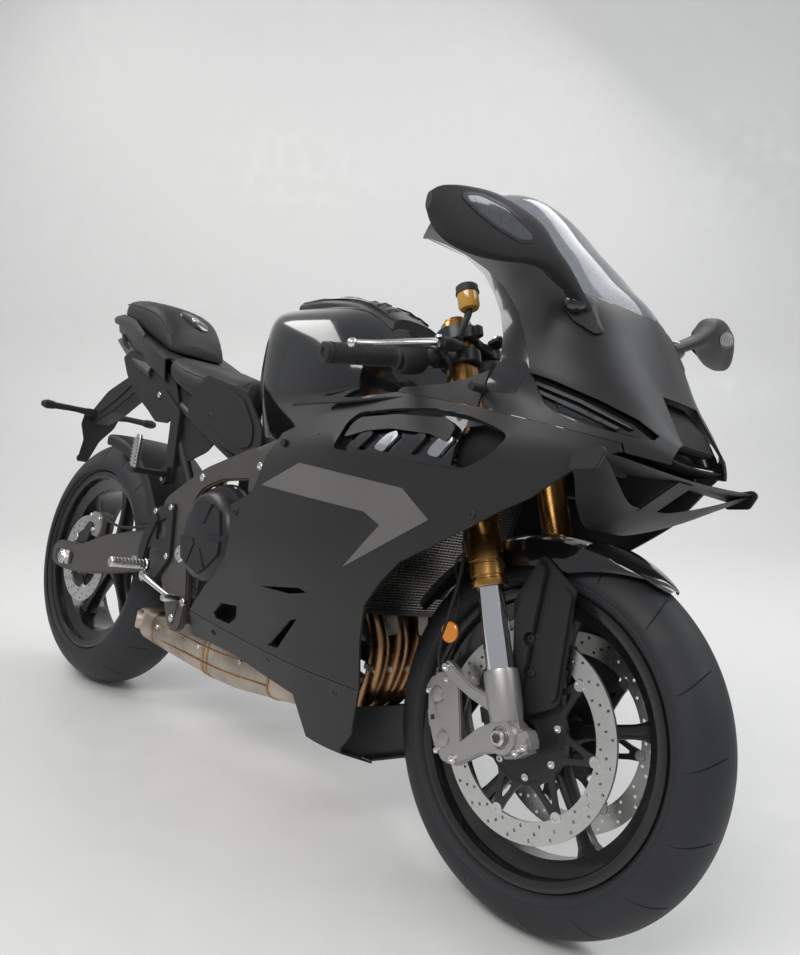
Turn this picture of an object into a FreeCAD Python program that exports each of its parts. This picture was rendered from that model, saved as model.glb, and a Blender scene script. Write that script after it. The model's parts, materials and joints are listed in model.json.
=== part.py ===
import FreeCAD, Part
import math
import os
import re

from FreeCAD import Placement, Rotation, Vector

# Sport bike leaning on its side stand.
# Every piece is drawn on the upright bike: X runs forward from the rear axle, Y to the rider's left,
# Z up from the ground line. One placement then leans the whole bike to its left and brings the middle
# of its footprint to the origin.

# alias, value, meaning
SIZES = [
    ("lean_deg", 12.5, "lean to the left on the side stand"),
    ("middle_x", 694, "middle of the footprint ahead of the rear axle"),
    ("middle_y", 219, "middle of the footprint left of the ground line"),
    ("wheelbase", 1420, "rear axle to front axle"),
    ("rake_deg", 22.6, "steering axis from upright"),
    ("trail", 94, "steering axis ahead of the front contact, on the ground"),
    ("tyre_front_r", 300, "front tyre radius"),
    ("tyre_front_half", 60, "front tyre half width and crown radius"),
    ("tyre_rear_r", 315, "rear tyre radius"),
    ("tyre_rear_half", 90, "rear tyre half width and crown radius"),
    ("tyre_front_height", 84, "front tyre from its bead seat to its crown"),
    ("tyre_rear_height", 99, "rear tyre from its bead seat to its crown"),
    ("flange_height", 13, "rim flange above its bead seat"),
    ("rim_front_half", 49, "front rim half width"),
    ("rim_rear_half", 76, "rear rim half width"),
    ("rim_wall", 6, "rim wall"),
    ("spoke_count", 5, "spokes of each wheel"),
    ("hub_r", 34, "wheel hub radius"),
    ("axle_front_r", 12.5, "front axle radius"),
    ("axle_front_bore_r", 8.5, "front axle bore radius"),
    ("axle_rear_r", 12.5, "rear axle radius"),
    ("axle_front_length", 276, "front axle length"),
    ("axle_rear_length", 332, "rear axle length"),
    ("pivot_bolt_r", 10, "swingarm pivot bolt radius"),
    ("pivot_bolt_length", 352, "swingarm pivot bolt length"),
    ("disc_front_r", 160, "front disc radius"),
    ("disc_front_y", 63.5, "front disc from the middle"),
    ("disc_rear_r", 110, "rear disc radius"),
    ("disc_rear_y", 98, "rear disc right of the middle"),
    ("disc_wall", 5, "disc thickness"),
    ("disc_band", 34, "width of a disc's braking band"),
    ("fork_y", 106, "fork leg from the middle"),
    ("fork_outer_r", 27, "gold upper tube radius"),
    ("fork_inner_r", 21.5, "chrome lower tube radius"),
    ("fork_foot_top", 100, "top of the cast foot above the axle, along the fork"),
    ("fork_seal", 226, "bottom of the gold tube above the axle"),
    ("clamp_low", 448, "lower clamp above the axle"),
    ("clamp_top", 642, "upper clamp above the axle"),
    ("clamp_wall", 26, "height of a fork clamp"),
    ("fork_cap", 692, "top of the fork above the axle"),
    ("bar_seat", 600, "bar clamp above the axle"),
    ("bar_half", 352, "bar end from the middle"),
    ("bar_r", 11, "handlebar radius"),
    ("grip_r", 17, "grip radius"),
    ("bar_sweep", 62, "bar end behind its clamp"),
    ("bar_drop", 44, "bar end below its clamp"),
    ("hose_r", 3.5, "brake hose radius"),
    ("chain_y", 108, "chain line left of the middle"),
    ("chain_width", 18, "chain width"),
    ("sprocket_rear_r", 88, "rear sprocket radius"),
    ("sprocket_front_r", 36, "front sprocket radius"),
    ("sprocket_front_x", 622, "front sprocket ahead of the rear axle"),
    ("sprocket_front_z", 410, "front sprocket height"),
    ("running_clear", 5, "clearance of a moving piece"),
    ("pivot_x", 548, "swingarm pivot ahead of the rear axle"),
    ("pivot_z", 418, "swingarm pivot height"),
    ("arm_inner_y", 124, "inner face of the swingarm beams"),
    ("arm_outer_y", 148, "outer face of the swingarm beams"),
    ("frame_inner_y", 152, "inner face of the frame's pivot plates"),
    ("frame_outer_y", 168, "outer face of the frame's pivot plates"),
    ("panel_wall", 4, "wall of the body panels"),
    ("screen_wall", 3, "wall of the windscreen"),
    ("recess_depth", 14, "depth of the recess in a side panel"),
    ("seam_clear", 0.8, "seam between two panels"),
    ("seat_clear", 0.3, "clearance of a seated piece"),
    ("stand_pivot_x", 560, "side stand pivot ahead of the rear axle"),
    ("stand_pivot_y", 185, "side stand pivot left of the middle"),
    ("stand_pivot_z", 285, "side stand pivot height"),
    ("stand_foot_x", 618, "side stand foot ahead of the rear axle"),
    ("stand_foot_y", 318, "side stand foot left of the middle"),
    ("stand_tube_r", 12, "side stand tube radius"),
]

doc = FreeCAD.newDocument("SportBike")
sheet = doc.addObject("Spreadsheet::Sheet", "Sizes")
for row, (alias, value, meaning) in enumerate(SIZES, start=1):
    sheet.set(f"A{row}", alias)
    sheet.set(f"B{row}", str(value))
    sheet.setAlias(f"B{row}", alias)
    sheet.set(f"C{row}", meaning)
doc.recompute()


def size(alias):
    """The number in one named cell of the sheet."""
    return float(sheet.get(alias))


def bound(text):
    """An expression in which every size name points at its cell."""
    names = "|".join(sorted((alias for alias, _, _ in SIZES), key=len, reverse=True))
    return re.sub(rf"\b({names})\b", r"Sizes.\1", text)


def bind(feature, **properties):
    """Tie properties of a feature to expressions over the size names."""
    for name, text in properties.items():
        feature.setExpression(name, bound(text))


# Places worked out from the sizes

rake = math.radians(size("rake_deg"))
lean = math.radians(size("lean_deg"))
lean_lift = size("tyre_rear_half") * (1 - math.cos(lean))
# the narrower front tyre stands a little lower, so that both touch the floor when the bike leans
front_drop = (size("tyre_rear_half") - size("tyre_front_half")) * (1 / math.cos(lean) - 1)
FX = size("wheelbase")
FZ = size("tyre_front_r") - front_drop
RZ = size("tyre_rear_r")
fork_offset = size("tyre_front_r") * math.sin(rake) - size("trail") * math.cos(rake)

LEAN = Placement(
    Vector(-size("middle_x"), -size("middle_y"), lean_lift),
    Rotation(Vector(1, 0, 0), -size("lean_deg")),
)
# the fork's own frame: origin at the front axle, X forward across the fork, Z up along it
FORK = Placement(Vector(FX, 0, FZ), Rotation(Vector(0, 1, 0), -size("rake_deg")))
FRONT_AXLE = Placement(Vector(FX, 0, FZ), Rotation())
REAR_AXLE = Placement(Vector(0, 0, RZ), Rotation())
HOME = Placement()

# the tank rests on a cross brace of the frame
TANK_FLOOR = 690

LEFT, RIGHT = 1, -1
SIDES = (("left", LEFT), ("right", RIGHT))


# Ways of making solids

def polygon(points):
    """A closed wire through points."""
    return Part.makePolygon(points + [points[0]])


def prism(outline, y_low, y_high):
    """An XZ outline made solid between two Y values."""
    face = Part.Face(polygon([Vector(x, y_low, z) for x, z in outline]))
    return face.extrude(Vector(0, y_high - y_low, 0))


def side_prism(outline, side, y_near, y_far):
    """An XZ outline made solid on one side of the bike."""
    low, high = sorted((side * y_near, side * y_far))
    return prism(outline, low, high)


def block(x_range, y_range, z_range):
    """A box between two corners."""
    lows = [min(pair) for pair in (x_range, y_range, z_range)]
    highs = [max(pair) for pair in (x_range, y_range, z_range)]
    spans = [high - low for low, high in zip(lows, highs)]
    return Part.makeBox(*spans, Vector(*lows))


def rod(start, end, radius):
    """A round bar between two points."""
    start, end = Vector(*start), Vector(*end)
    return Part.makeCylinder(radius, (end - start).Length, start, end - start)


def across(x, z, y_low, y_high, radius):
    """A round bar along Y."""
    return rod((x, y_low, z), (x, y_high, z), radius)


def fused(shapes):
    """Shapes joined into one solid, with its seams removed."""
    shapes = list(shapes)
    return shapes[0].fuse(shapes[1:]).removeSplitter()


def mirrored(shape):
    """The same shape on the other side of the bike."""
    return shape.mirror(Vector(0, 0, 0), Vector(0, 1, 0))


def mitred_tube(points, radius):
    """A round bar along straight runs with rounded corners."""
    pieces = [rod(start, end, radius) for start, end in zip(points, points[1:])]
    pieces += [Part.makeSphere(radius, Vector(*corner)) for corner in points[1:-1]]
    return fused(pieces)


def full_profile(x, half):
    """A section across the bike from its left half, bottom first."""
    left = [Vector(x, y, z) for y, z in half]
    right = [Vector(x, -y, z) for y, z in reversed(half) if y > 0]
    return polygon(left + right)


def hull(stations):
    """A body from sections across the bike: rows of x and the left half of its outline."""
    return Part.makeLoft([full_profile(x, half) for x, half in stations], True, True)


def inset(half, wall):
    """The left half of an outline moved inwards by a wall."""
    moved = []
    last = len(half) - 1
    for i, (y, z) in enumerate(half):
        before = half[i - 1] if i > 0 else (-y, z)
        after = half[i + 1] if i < last else (-y, z)
        if y == 0:
            moved.append((0, z - wall if i else z + wall))
            continue
        in_dir = Vector(y - before[0], z - before[1], 0).normalize()
        out_dir = Vector(after[0] - y, after[1] - z, 0).normalize()
        normal = Vector(-in_dir.y - out_dir.y, in_dir.x + out_dir.x, 0).normalize()
        spread = max(0.5, normal.dot(Vector(-in_dir.y, in_dir.x, 0)))
        moved.append((y + normal.x * wall / spread, z + normal.y * wall / spread))
    return moved


# Body stations

def inner_body(outer_stations, wall, opening, front_wall):
    """A body moved inwards by a wall and run on through its open faces."""
    stations = []
    last = len(outer_stations) - 1
    for i, (x, half) in enumerate(outer_stations):
        moved = inset(half, wall)
        if "bottom" in opening:
            moved[0] = (moved[0][0], moved[0][1] - 16)
        if "top" in opening:
            moved[-1] = (moved[-1][0], moved[-1][1] + 16)
        if i == 0:
            x -= 8
        if i == last:
            x += -wall if front_wall else 8
        stations.append((x, moved))
    return hull(stations)


def shell(outer_stations, wall, opening, front_wall=False):
    """The wall between an outer body and the same body moved inwards."""
    return hull(outer_stations).cut(inner_body(outer_stations, wall, opening, front_wall))


def seen(points):
    """XZ outline from distances ahead of the front axle."""
    return [(FX + ahead, z) for ahead, z in points]


def grown_prism(outline, margin, y_low, y_high):
    """An XZ outline widened by a margin and made solid between two Y values."""
    wire = polygon([Vector(x, y_low, z) for x, z in outline])
    face = Part.Face(wire.makeOffset2D(margin, 2, False, False))
    return face.extrude(Vector(0, y_high - y_low, 0))


def front_stations(table):
    """Rows of the distance ahead of the front axle and a half outline, as rows of x and outline."""
    return [(FX + ahead, half) for ahead, half in table]


# ahead of the front axle, then y, z of: keel, belly, chine, waist, shoulder, top
LOWER_BODY = front_stations([
    (-850, [(90, 262), (150, 275), (160, 305), (182, 450), (186, 590), (140, 690)]),
    (-620, [(70, 215), (150, 232), (176, 300), (212, 480), (212, 640), (160, 770)]),
    (-420, [(60, 150), (140, 172), (184, 300), (228, 500), (238, 680), (180, 815)]),
    (-230, [(50, 150), (130, 176), (172, 290), (222, 500), (245, 700), (205, 845)]),
    (-70, [(40, 160), (120, 200), (160, 290), (212, 520), (242, 712), (212, 850)]),
    (30, [(30, 180), (100, 220), (140, 320), (190, 560), (216, 722), (196, 840)]),
    (122, [(20, 300), (60, 360), (100, 450), (136, 620), (156, 716), (146, 800)]),
    (173, [(10, 400), (30, 470), (50, 550), (70, 680), (88, 716), (80, 780)]),
])

# ahead of the front axle, then y, z of: edge, lip, brow, flank, pillar, crest, middle
UPPER_BODY = front_stations([
    (-345, [(205, 800), (200, 840), (188, 870), (160, 980), (132, 1100), (70, 1165), (0, 1185)]),
    (-205, [(215, 795), (210, 830), (196, 860), (165, 980), (118, 1105), (62, 1160), (0, 1173)]),
    (-90, [(222, 785), (216, 822), (200, 850), (178, 940), (142, 1013), (72, 1070), (0, 1085)]),
    (-20, [(220, 765), (212, 805), (192, 840), (176, 900), (148, 965), (70, 1012), (0, 1026)]),
    (44, [(200, 752), (190, 785), (170, 822), (148, 870), (112, 925), (50, 958), (0, 970)]),
    (116, [(150, 742), (142, 768), (124, 798), (100, 822), (57, 842), (28, 846), (0, 848)]),
    (173, [(86, 736), (82, 748), (71, 763), (60, 768), (40, 772), (20, 774), (0, 775)]),
])


# Nodes of the finished model

nodes = []


def place(feature, label, frame=HOME):
    """Name a finished piece and lean it with the bike."""
    feature.Label = label
    feature.Placement = LEAN.multiply(frame)
    nodes.append(feature)
    return feature


def shape_node(label, shape, frame=HOME):
    """A piece whose shape is worked out above, seen from the given frame."""
    feature = doc.addObject("Part::Feature", label)
    feature.Shape = shape
    return place(feature, label, frame)


def origin_plane(body, role):
    """One of a body's own origin planes."""
    return next(f for f in body.Origin.OriginFeatures if f.Role == role)


def closed_sketch(body, name, plane, points):
    """A closed outline of lines on one of a body's own planes."""
    sketch = body.newObject("Sketcher::SketchObject", name)
    sketch.AttachmentSupport = [(origin_plane(body, plane), "")]
    sketch.MapMode = "FlatFace"
    corners = [Vector(a, b, 0) for a, b in points]
    for start, end in zip(corners, corners[1:] + corners[:1]):
        sketch.addGeometry(Part.LineSegment(start, end), False)
    return sketch


def turned(body, name, points):
    """A ring: an outline of radius and Y, turned about the wheel axis."""
    # the sketch lies in the YZ plane, so its first coordinate is Y and its second the radius
    sketch = closed_sketch(body, name + "_outline", "YZ_Plane", [(y, r) for r, y in points])
    ring = body.newObject("PartDesign::Revolution", name)
    ring.Profile = sketch
    ring.ReferenceAxis = (sketch, ["H_Axis"])
    ring.Angle = 360
    return ring


def new_body(name):
    """An empty body with its own origin."""
    return doc.addObject("PartDesign::Body", name)


# Wheels

def tyre_outline(radius, half, height, rim_half):
    """Radius and Y of a tyre's section: bead, side wall, shoulder and round crown."""
    bead = radius - height
    centre = radius - half
    crown = [
        (centre + half * math.cos(math.radians(a)), half * math.sin(math.radians(a)))
        for a in (-75, -45, -20, 0, 20, 45, 75)
    ]
    flange = bead + size("flange_height")
    left_bead = [
        (flange + 3, rim_half - 1), (flange, rim_half - 5.5), (bead, rim_half - 8.6), (bead, rim_half - 20),
    ]
    inside = [(radius - 15, 0)]
    right_bead = [(r, -y) for r, y in reversed(left_bead)]
    return crown + left_bead + inside + right_bead


def make_tyre(name, frame):
    """The tyre of one wheel, front or rear."""
    label = name + "_tyre"
    body = new_body(label)
    turned(body, label + "_ring", tyre_outline(
        size(f"tyre_{name}_r"), size(f"tyre_{name}_half"), size(f"tyre_{name}_height"), size(f"rim_{name}_half"),
    ))
    return place(body, label, frame)


def make_rim(name, frame, hub_half):
    """A cast wheel: barrel with flanges, hub and slim spokes."""
    label = name + "_rim"
    half = size(f"rim_{name}_half")
    seat = size(f"tyre_{name}_r") - size(f"tyre_{name}_height")
    bead = seat - size("seat_clear")
    wall = size("rim_wall")
    flange = seat + size("flange_height")
    well = bead - 24
    body = new_body(label)
    turned(body, label + "_barrel", [
        (flange, half), (flange, half - 5), (bead, half - 8), (bead, half - 24), (well, half - 36),
        (well, -half + 36), (bead, -half + 24), (bead, -half + 8), (flange, -half + 5), (flange, -half),
        (bead - wall, -half), (bead - wall, -half + 20), (well - wall, -half + 30),
        (well - wall, half - 30), (bead - wall, half - 20), (bead - wall, half),
    ])
    bore = size("axle_front_r") + 0.5
    hub = turned(body, label + "_hub", [
        (size("hub_r"), -hub_half), (size("hub_r"), hub_half), (bore, hub_half), (bore, -hub_half),
    ])
    hub.Refine = True
    spoke_low = size("hub_r") - 4
    spoke_high = well - wall + 3
    outline = closed_sketch(body, label + "_spoke_outline", "XZ_Plane", [
        (-22, spoke_low), (22, spoke_low), (11, spoke_low + 60), (13, spoke_high), (-13, spoke_high),
        (-11, spoke_low + 60),
    ])
    spoke = body.newObject("PartDesign::Pad", label + "_spoke")
    spoke.Profile = outline
    spoke.Length = 30
    spoke.Midplane = True
    turns = body.newObject("PartDesign::PolarPattern", label + "_spokes")
    turns.Originals = [spoke]
    turns.Axis = (origin_plane(body, "Y_Axis"), [""])
    turns.Angle = 360
    turns.setExpression("Occurrences", "Sizes.spoke_count")
    body.Tip = turns
    return place(body, label, frame)


make_tyre("front", FRONT_AXLE)
make_tyre("rear", REAR_AXLE)
make_rim("front", FRONT_AXLE, 52)
make_rim("rear", REAR_AXLE, 80)


def disc_shape(radius, y_middle, holes):
    """A drilled braking band on its carrier, about the axle."""
    wall = size("disc_wall")
    band = radius - size("disc_band")
    ring = across(0, 0, y_middle - wall / 2, y_middle + wall / 2, radius)
    ring = ring.cut(across(0, 0, y_middle - wall, y_middle + wall, band))
    middle = radius - size("disc_band") / 2
    # the drillings are six-sided
    corners = [math.radians(60 * i) for i in range(6)]
    drill = prism([(middle + 4 * math.cos(a), 4 * math.sin(a)) for a in corners], y_middle - wall, y_middle + wall)
    for i in range(holes):
        turn = drill.copy()
        turn.rotate(Vector(0, 0, 0), Vector(0, 1, 0), 360 * i / holes)
        ring = ring.cut(turn)
    return ring, band


def carrier_shape(band, y_middle, hub_y, arms):
    """The spider that joins a braking band to the hub."""
    wall = size("disc_wall")
    bore = size("hub_r") - 12
    side = 1 if y_middle > 0 else -1
    inner = side * hub_y
    plate = across(0, 0, min(inner, y_middle + side * wall / 2), max(inner, y_middle + side * wall / 2), 62)
    plate = plate.cut(across(0, 0, -200, 200, bore))
    arm = block((50, band + 4), (y_middle - wall / 2, y_middle + wall / 2), (-9, 9))
    spider = [plate]
    for i in range(arms):
        turn = arm.copy()
        turn.rotate(Vector(0, 0, 0), Vector(0, 1, 0), 360 * i / arms)
        spider.append(turn)
    return fused(spider)


def make_discs(label, radius_name, y_values, hub_y, holes, arms, frame):
    pairs = []
    for y in y_values:
        ring, band = disc_shape(size(radius_name), y, holes)
        pairs.append(fused([ring, carrier_shape(band, y, hub_y, arms)]))
    return shape_node(label, Part.makeCompound(pairs) if len(pairs) > 1 else pairs[0], frame)


make_discs("front_discs", "disc_front_r", (size("disc_front_y"), -size("disc_front_y")), 52, 20, 10, FRONT_AXLE)
make_discs("rear_disc", "disc_rear_r", (-size("disc_rear_y"),), 80, 16, 5, REAR_AXLE)


def make_sprocket():
    """Toothed rear sprocket on its carrier."""
    radius = size("sprocket_rear_r")
    y = size("chain_y")
    teeth = 43
    points = []
    for i in range(teeth * 2):
        r = radius if i % 2 == 0 else radius - 6
        a = math.pi * i / teeth
        points.append(Vector(r * math.cos(a), y - 3, r * math.sin(a)))
    plate = Part.Face(polygon(points)).extrude(Vector(0, 6, 0))
    carrier = across(0, 0, 80, y + 3, 56)
    shape = fused([plate, carrier]).cut(across(0, 0, 0, 200, size("hub_r") - 12))
    for i in range(5):
        hole = across(71, 0, y - 10, y + 10, 8)
        hole.rotate(Vector(0, 0, 0), Vector(0, 1, 0), 72 * i + 36)
        shape = shape.cut(hole)
    return shape_node("rear_sprocket", shape, REAR_AXLE)


make_sprocket()


# Axles

def cross_bar(name, radius_name, length_name):
    """A Part cylinder along Y, tied to the size sheet."""
    bar = doc.addObject("Part::Cylinder", name)
    bind(bar, Radius=radius_name, Height=length_name)
    bar.Placement = Placement(Vector(0, -size(length_name) / 2, 0), Rotation(Vector(1, 0, 0), -90))
    bar.setExpression(".Placement.Base.y", bound(f"-{length_name} / 2"))
    return bar


def make_axle(name, frame):
    """A hollow wheel axle."""
    label = name + "_axle"
    cut = doc.addObject("Part::Cut", label)
    cut.Base = cross_bar(label + "_bar", f"axle_{name}_r", f"axle_{name}_length")
    cut.Tool = cross_bar(label + "_bore", "axle_front_bore_r", f"axle_{name}_length")
    return place(cut, label, frame)


make_axle("front", FRONT_AXLE)
make_axle("rear", REAR_AXLE)
PIVOT = Placement(Vector(size("pivot_x"), 0, size("pivot_z")), Rotation())
pivot_bolt = doc.addObject("Part::Compound", "pivot_bolt")
pivot_bolt.Links = [cross_bar("pivot_bolt_bar", "pivot_bolt_r", "pivot_bolt_length")]
place(pivot_bolt, "pivot_bolt", PIVOT)


# Fork and steering, in the fork's own frame

def clamp_plate(z_low, z_high):
    """A fork clamp: two split rings and the web between them."""
    y = size("fork_y")
    ring_r = size("fork_outer_r") + 9
    back = -fork_offset
    outline = [(-ring_r + 8, -y), (ring_r - 8, -y), (ring_r - 8, y), (-ring_r + 8, y), (back - 34, 26), (back - 34, -26)]
    face = Part.Face(polygon([Vector(a, b, z_low) for a, b in outline]))
    web = face.extrude(Vector(0, 0, z_high - z_low))
    rings = [rod((0, s * y, z_low), (0, s * y, z_high), ring_r) for _, s in SIDES]
    boss = rod((back, 0, z_low), (back, 0, z_high), 32)
    return fused([web, boss] + rings)


def make_clamps():
    y = size("fork_y")
    clear = size("seat_clear")
    low, top, wall = size("clamp_low"), size("clamp_top"), size("clamp_wall")
    back = -fork_offset
    plates = []
    for z in (low, top):
        plate = clamp_plate(z, z + wall)
        for _, s in SIDES:
            plate = plate.cut(rod((0, s * y, z - 1), (0, s * y, z + wall + 1), size("fork_outer_r") + clear))
        plates.append(plate)
    stem = rod((back, 0, low), (back, 0, top + wall), 14)
    bore = rod((back, 0, low - 1), (back, 0, top + wall + 1), 9)
    shape_node("fork_clamps", fused(plates + [stem]).cut(bore), FORK)


make_clamps()


def make_fork_uppers():
    y = size("fork_y")
    seal, cap = size("fork_seal"), size("fork_cap")
    legs = []
    for _, s in SIDES:
        outer = rod((0, s * y, seal), (0, s * y, cap - 12), size("fork_outer_r"))
        lip = rod((0, s * y, seal), (0, s * y, seal + 34), size("fork_outer_r") + 2.5)
        cap_nut = rod((0, s * y, cap - 12), (0, s * y, cap), size("fork_outer_r") - 6)
        legs.append(fused([outer, lip, cap_nut]))
    shape_node("fork_uppers", Part.makeCompound(legs), FORK)


make_fork_uppers()


def make_fork_lowers():
    y = size("fork_y")
    foot = size("fork_foot_top")
    clear = size("seat_clear")
    legs = []
    for _, s in SIDES:
        chrome = rod((0, s * y, foot - 30), (0, s * y, size("fork_seal") - clear), size("fork_inner_r"))
        collar = rod((0, s * y, 14), (0, s * y, foot), size("fork_inner_r") + 5)
        boss = rod((0, s * (y - 20), 0), (0, s * (y + 22), 0), 28)
        lug = block((-100, 0), (s * (y - 16), s * (y + 8)), (48, 74))
        lug_low = block((-110, 0), (s * (y - 16), s * (y + 8)), (-22, 4))
        tab = block((-9, 9), (s * (size("tyre_front_half") + 12.5 + 3.3), s * (y - 14)), (44, 84))
        leg = fused([chrome, collar, boss, lug, lug_low, tab])
        legs.append(leg.cut(rod((0, s * (y - 40), 0), (0, s * (y + 60), 0), size("axle_front_r") + clear)))
    shape_node("fork_lowers", Part.makeCompound(legs), FORK)


make_fork_lowers()


def make_calipers():
    """Radial calipers astride the front discs."""
    disc_y = size("disc_front_y")
    slot = size("disc_wall") / 2 + size("running_clear")
    out = size("fork_y") - 16.3
    pair = []
    for _, s in SIDES:
        body = block((-178, -104), (s * (disc_y - 13), s * out), (-34, 86))
        gap = block((-168, -60), (s * (disc_y - slot), s * (disc_y + slot)), (-60, 110))
        pair.append(body.cut(gap))
    shape_node("front_calipers", Part.makeCompound(pair), FORK)


make_calipers()


def make_fender():
    """Arched mudguard with a side cheek before each fork leg."""
    inner = size("tyre_front_r") + 12
    wall = 3
    half = size("tyre_front_half") + 12.5
    profile = [
        (inner - 40, half), (inner - 12, half - 8), (inner, half - 30), (inner, -half + 30),
        (inner - 12, -half + 8), (inner - 40, -half), (inner - 40, -half - wall),
        (inner - 10, -half + 8 - wall), (inner + wall, -half + 30 - wall), (inner + wall, half - 30 + wall),
        (inner - 10, half - 8 + wall), (inner - 40, half + wall),
    ]
    face = Part.Face(polygon([Vector(r, y, 0) for r, y in profile]))
    arch = face.revolve(Vector(0, 0, 0), Vector(0, -1, 0), 90)
    arch.rotate(Vector(0, 0, 0), Vector(0, 1, 0), -59)
    cheeks = []
    outline = [
        (-96, inner - 50), (-36, inner - 14), (24, inner - 12), (64, inner - 50), (40, inner - 122),
        (16, 40), (-20, 36), (-26, inner - 132),
    ]
    fork_turn = Rotation(Vector(0, 1, 0), -size("rake_deg"))
    for _, s in SIDES:
        cheek = side_prism(outline, s, half - 1, half + wall)
        cheek.Placement = Placement(Vector(), fork_turn)
        cheeks.append(cheek)
    shape_node("front_fender", fused([arch] + cheeks), FRONT_AXLE)


make_fender()


def bar_frame():
    """Start, end and direction of each handlebar in the fork's frame."""
    turn = Rotation(Vector(0, 1, 0), size("rake_deg"))
    y = size("fork_y")
    start = Vector(0, y, size("bar_seat") + 14)
    sweep = turn.multVec(Vector(-size("bar_sweep"), 0, -size("bar_drop")))
    end = Vector(start.x + sweep.x, size("bar_half"), start.z + sweep.z)
    return start, end


def make_bars():
    start, end = bar_frame()
    along = (end - start).normalize()
    clear = size("seat_clear")
    fork_r = size("fork_outer_r")
    bars, grips, controls = [], [], []
    for _, s in SIDES:
        ring = rod((0, s * start.y, start.z - 14), (0, s * start.y, start.z + 14), fork_r + 8)
        bar = rod(start + along * (fork_r - 2), end - along * 12, size("bar_r"))
        tip = rod(end - along * 12, end, size("grip_r"))
        if s == RIGHT:
            bar, tip = mirrored(bar), mirrored(tip)
        tube_hole = rod((0, s * start.y, start.z - 20), (0, s * start.y, start.z + 20), fork_r + clear)
        bars.append(fused([ring, bar, tip]).cut(tube_hole))
        grip = rod(end - along * 132, end - along * 12.5, size("grip_r"))
        hole = rod(end - along * 140, end, size("bar_r") + clear)
        grip = grip.cut(hole)
        pod = rod(end - along * 178, end - along * 133, size("grip_r") + 5)
        pod = pod.cut(rod(end - along * 200, end, size("bar_r") + clear))
        root = end - along * 172 + Vector(52, 0, 6)
        knuckle = end - along * 150 + Vector(64, 0, 2)
        far = end - along * 6 + Vector(58, 0, -4)
        lever = fused([rod(root, knuckle, 9), rod(knuckle, far, 6), Part.makeSphere(8, far)])
        bridge = rod(root + Vector(2, 0, -2), end - along * 160 + Vector(size("grip_r"), 0, 2), 8)
        control = fused([pod, lever, bridge])
        if s == RIGHT:
            grip, control = mirrored(grip), mirrored(control)
        grips.append(grip)
        controls.append(control)
    shape_node("handlebars", Part.makeCompound(bars), FORK)
    shape_node("grips", Part.makeCompound(grips), FORK)
    shape_node("bar_controls", Part.makeCompound(controls), FORK)


make_bars()


def make_brake_hoses():
    """Hoses from the right lever down behind the fork legs to the front calipers."""
    radius = size("hose_r")
    top = size("clamp_low") - radius - size("seat_clear")
    caliper_top = 86 + size("seat_clear")
    right = [
        (27, -188, 602), (20, -160, 575), (-38, -128, 540), (-38, -122, top), (-33, -114, 300), (-120, -104, 150),
        (-140, -74, 112), (-140, -74, caliper_top),
    ]
    left = [
        (-38, -122, top), (-38, 122, top), (-33, 114, 300), (-120, 104, 150), (-140, 74, 112),
        (-140, 74, caliper_top),
    ]
    shape_node("brake_hoses", fused([mitred_tube(right, radius), mitred_tube(left, radius)]), FORK)


make_brake_hoses()


# Frame, engine and swingarm

def stand_axis():
    """Pivot, foot and hinge axis of the side stand: it folds up to lie back along the swingarm."""
    pivot = Vector(size("stand_pivot_x"), size("stand_pivot_y"), size("stand_pivot_z"))
    ground = (size("stand_foot_y") * math.sin(lean) - lean_lift) / math.cos(lean)
    foot = Vector(size("stand_foot_x"), size("stand_foot_y"), ground)
    folded = Vector(-0.985, 0.12, -0.12)
    axis = (foot - pivot).normalize().cross(folded.normalize()).normalize()
    return pivot, foot, axis


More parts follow.
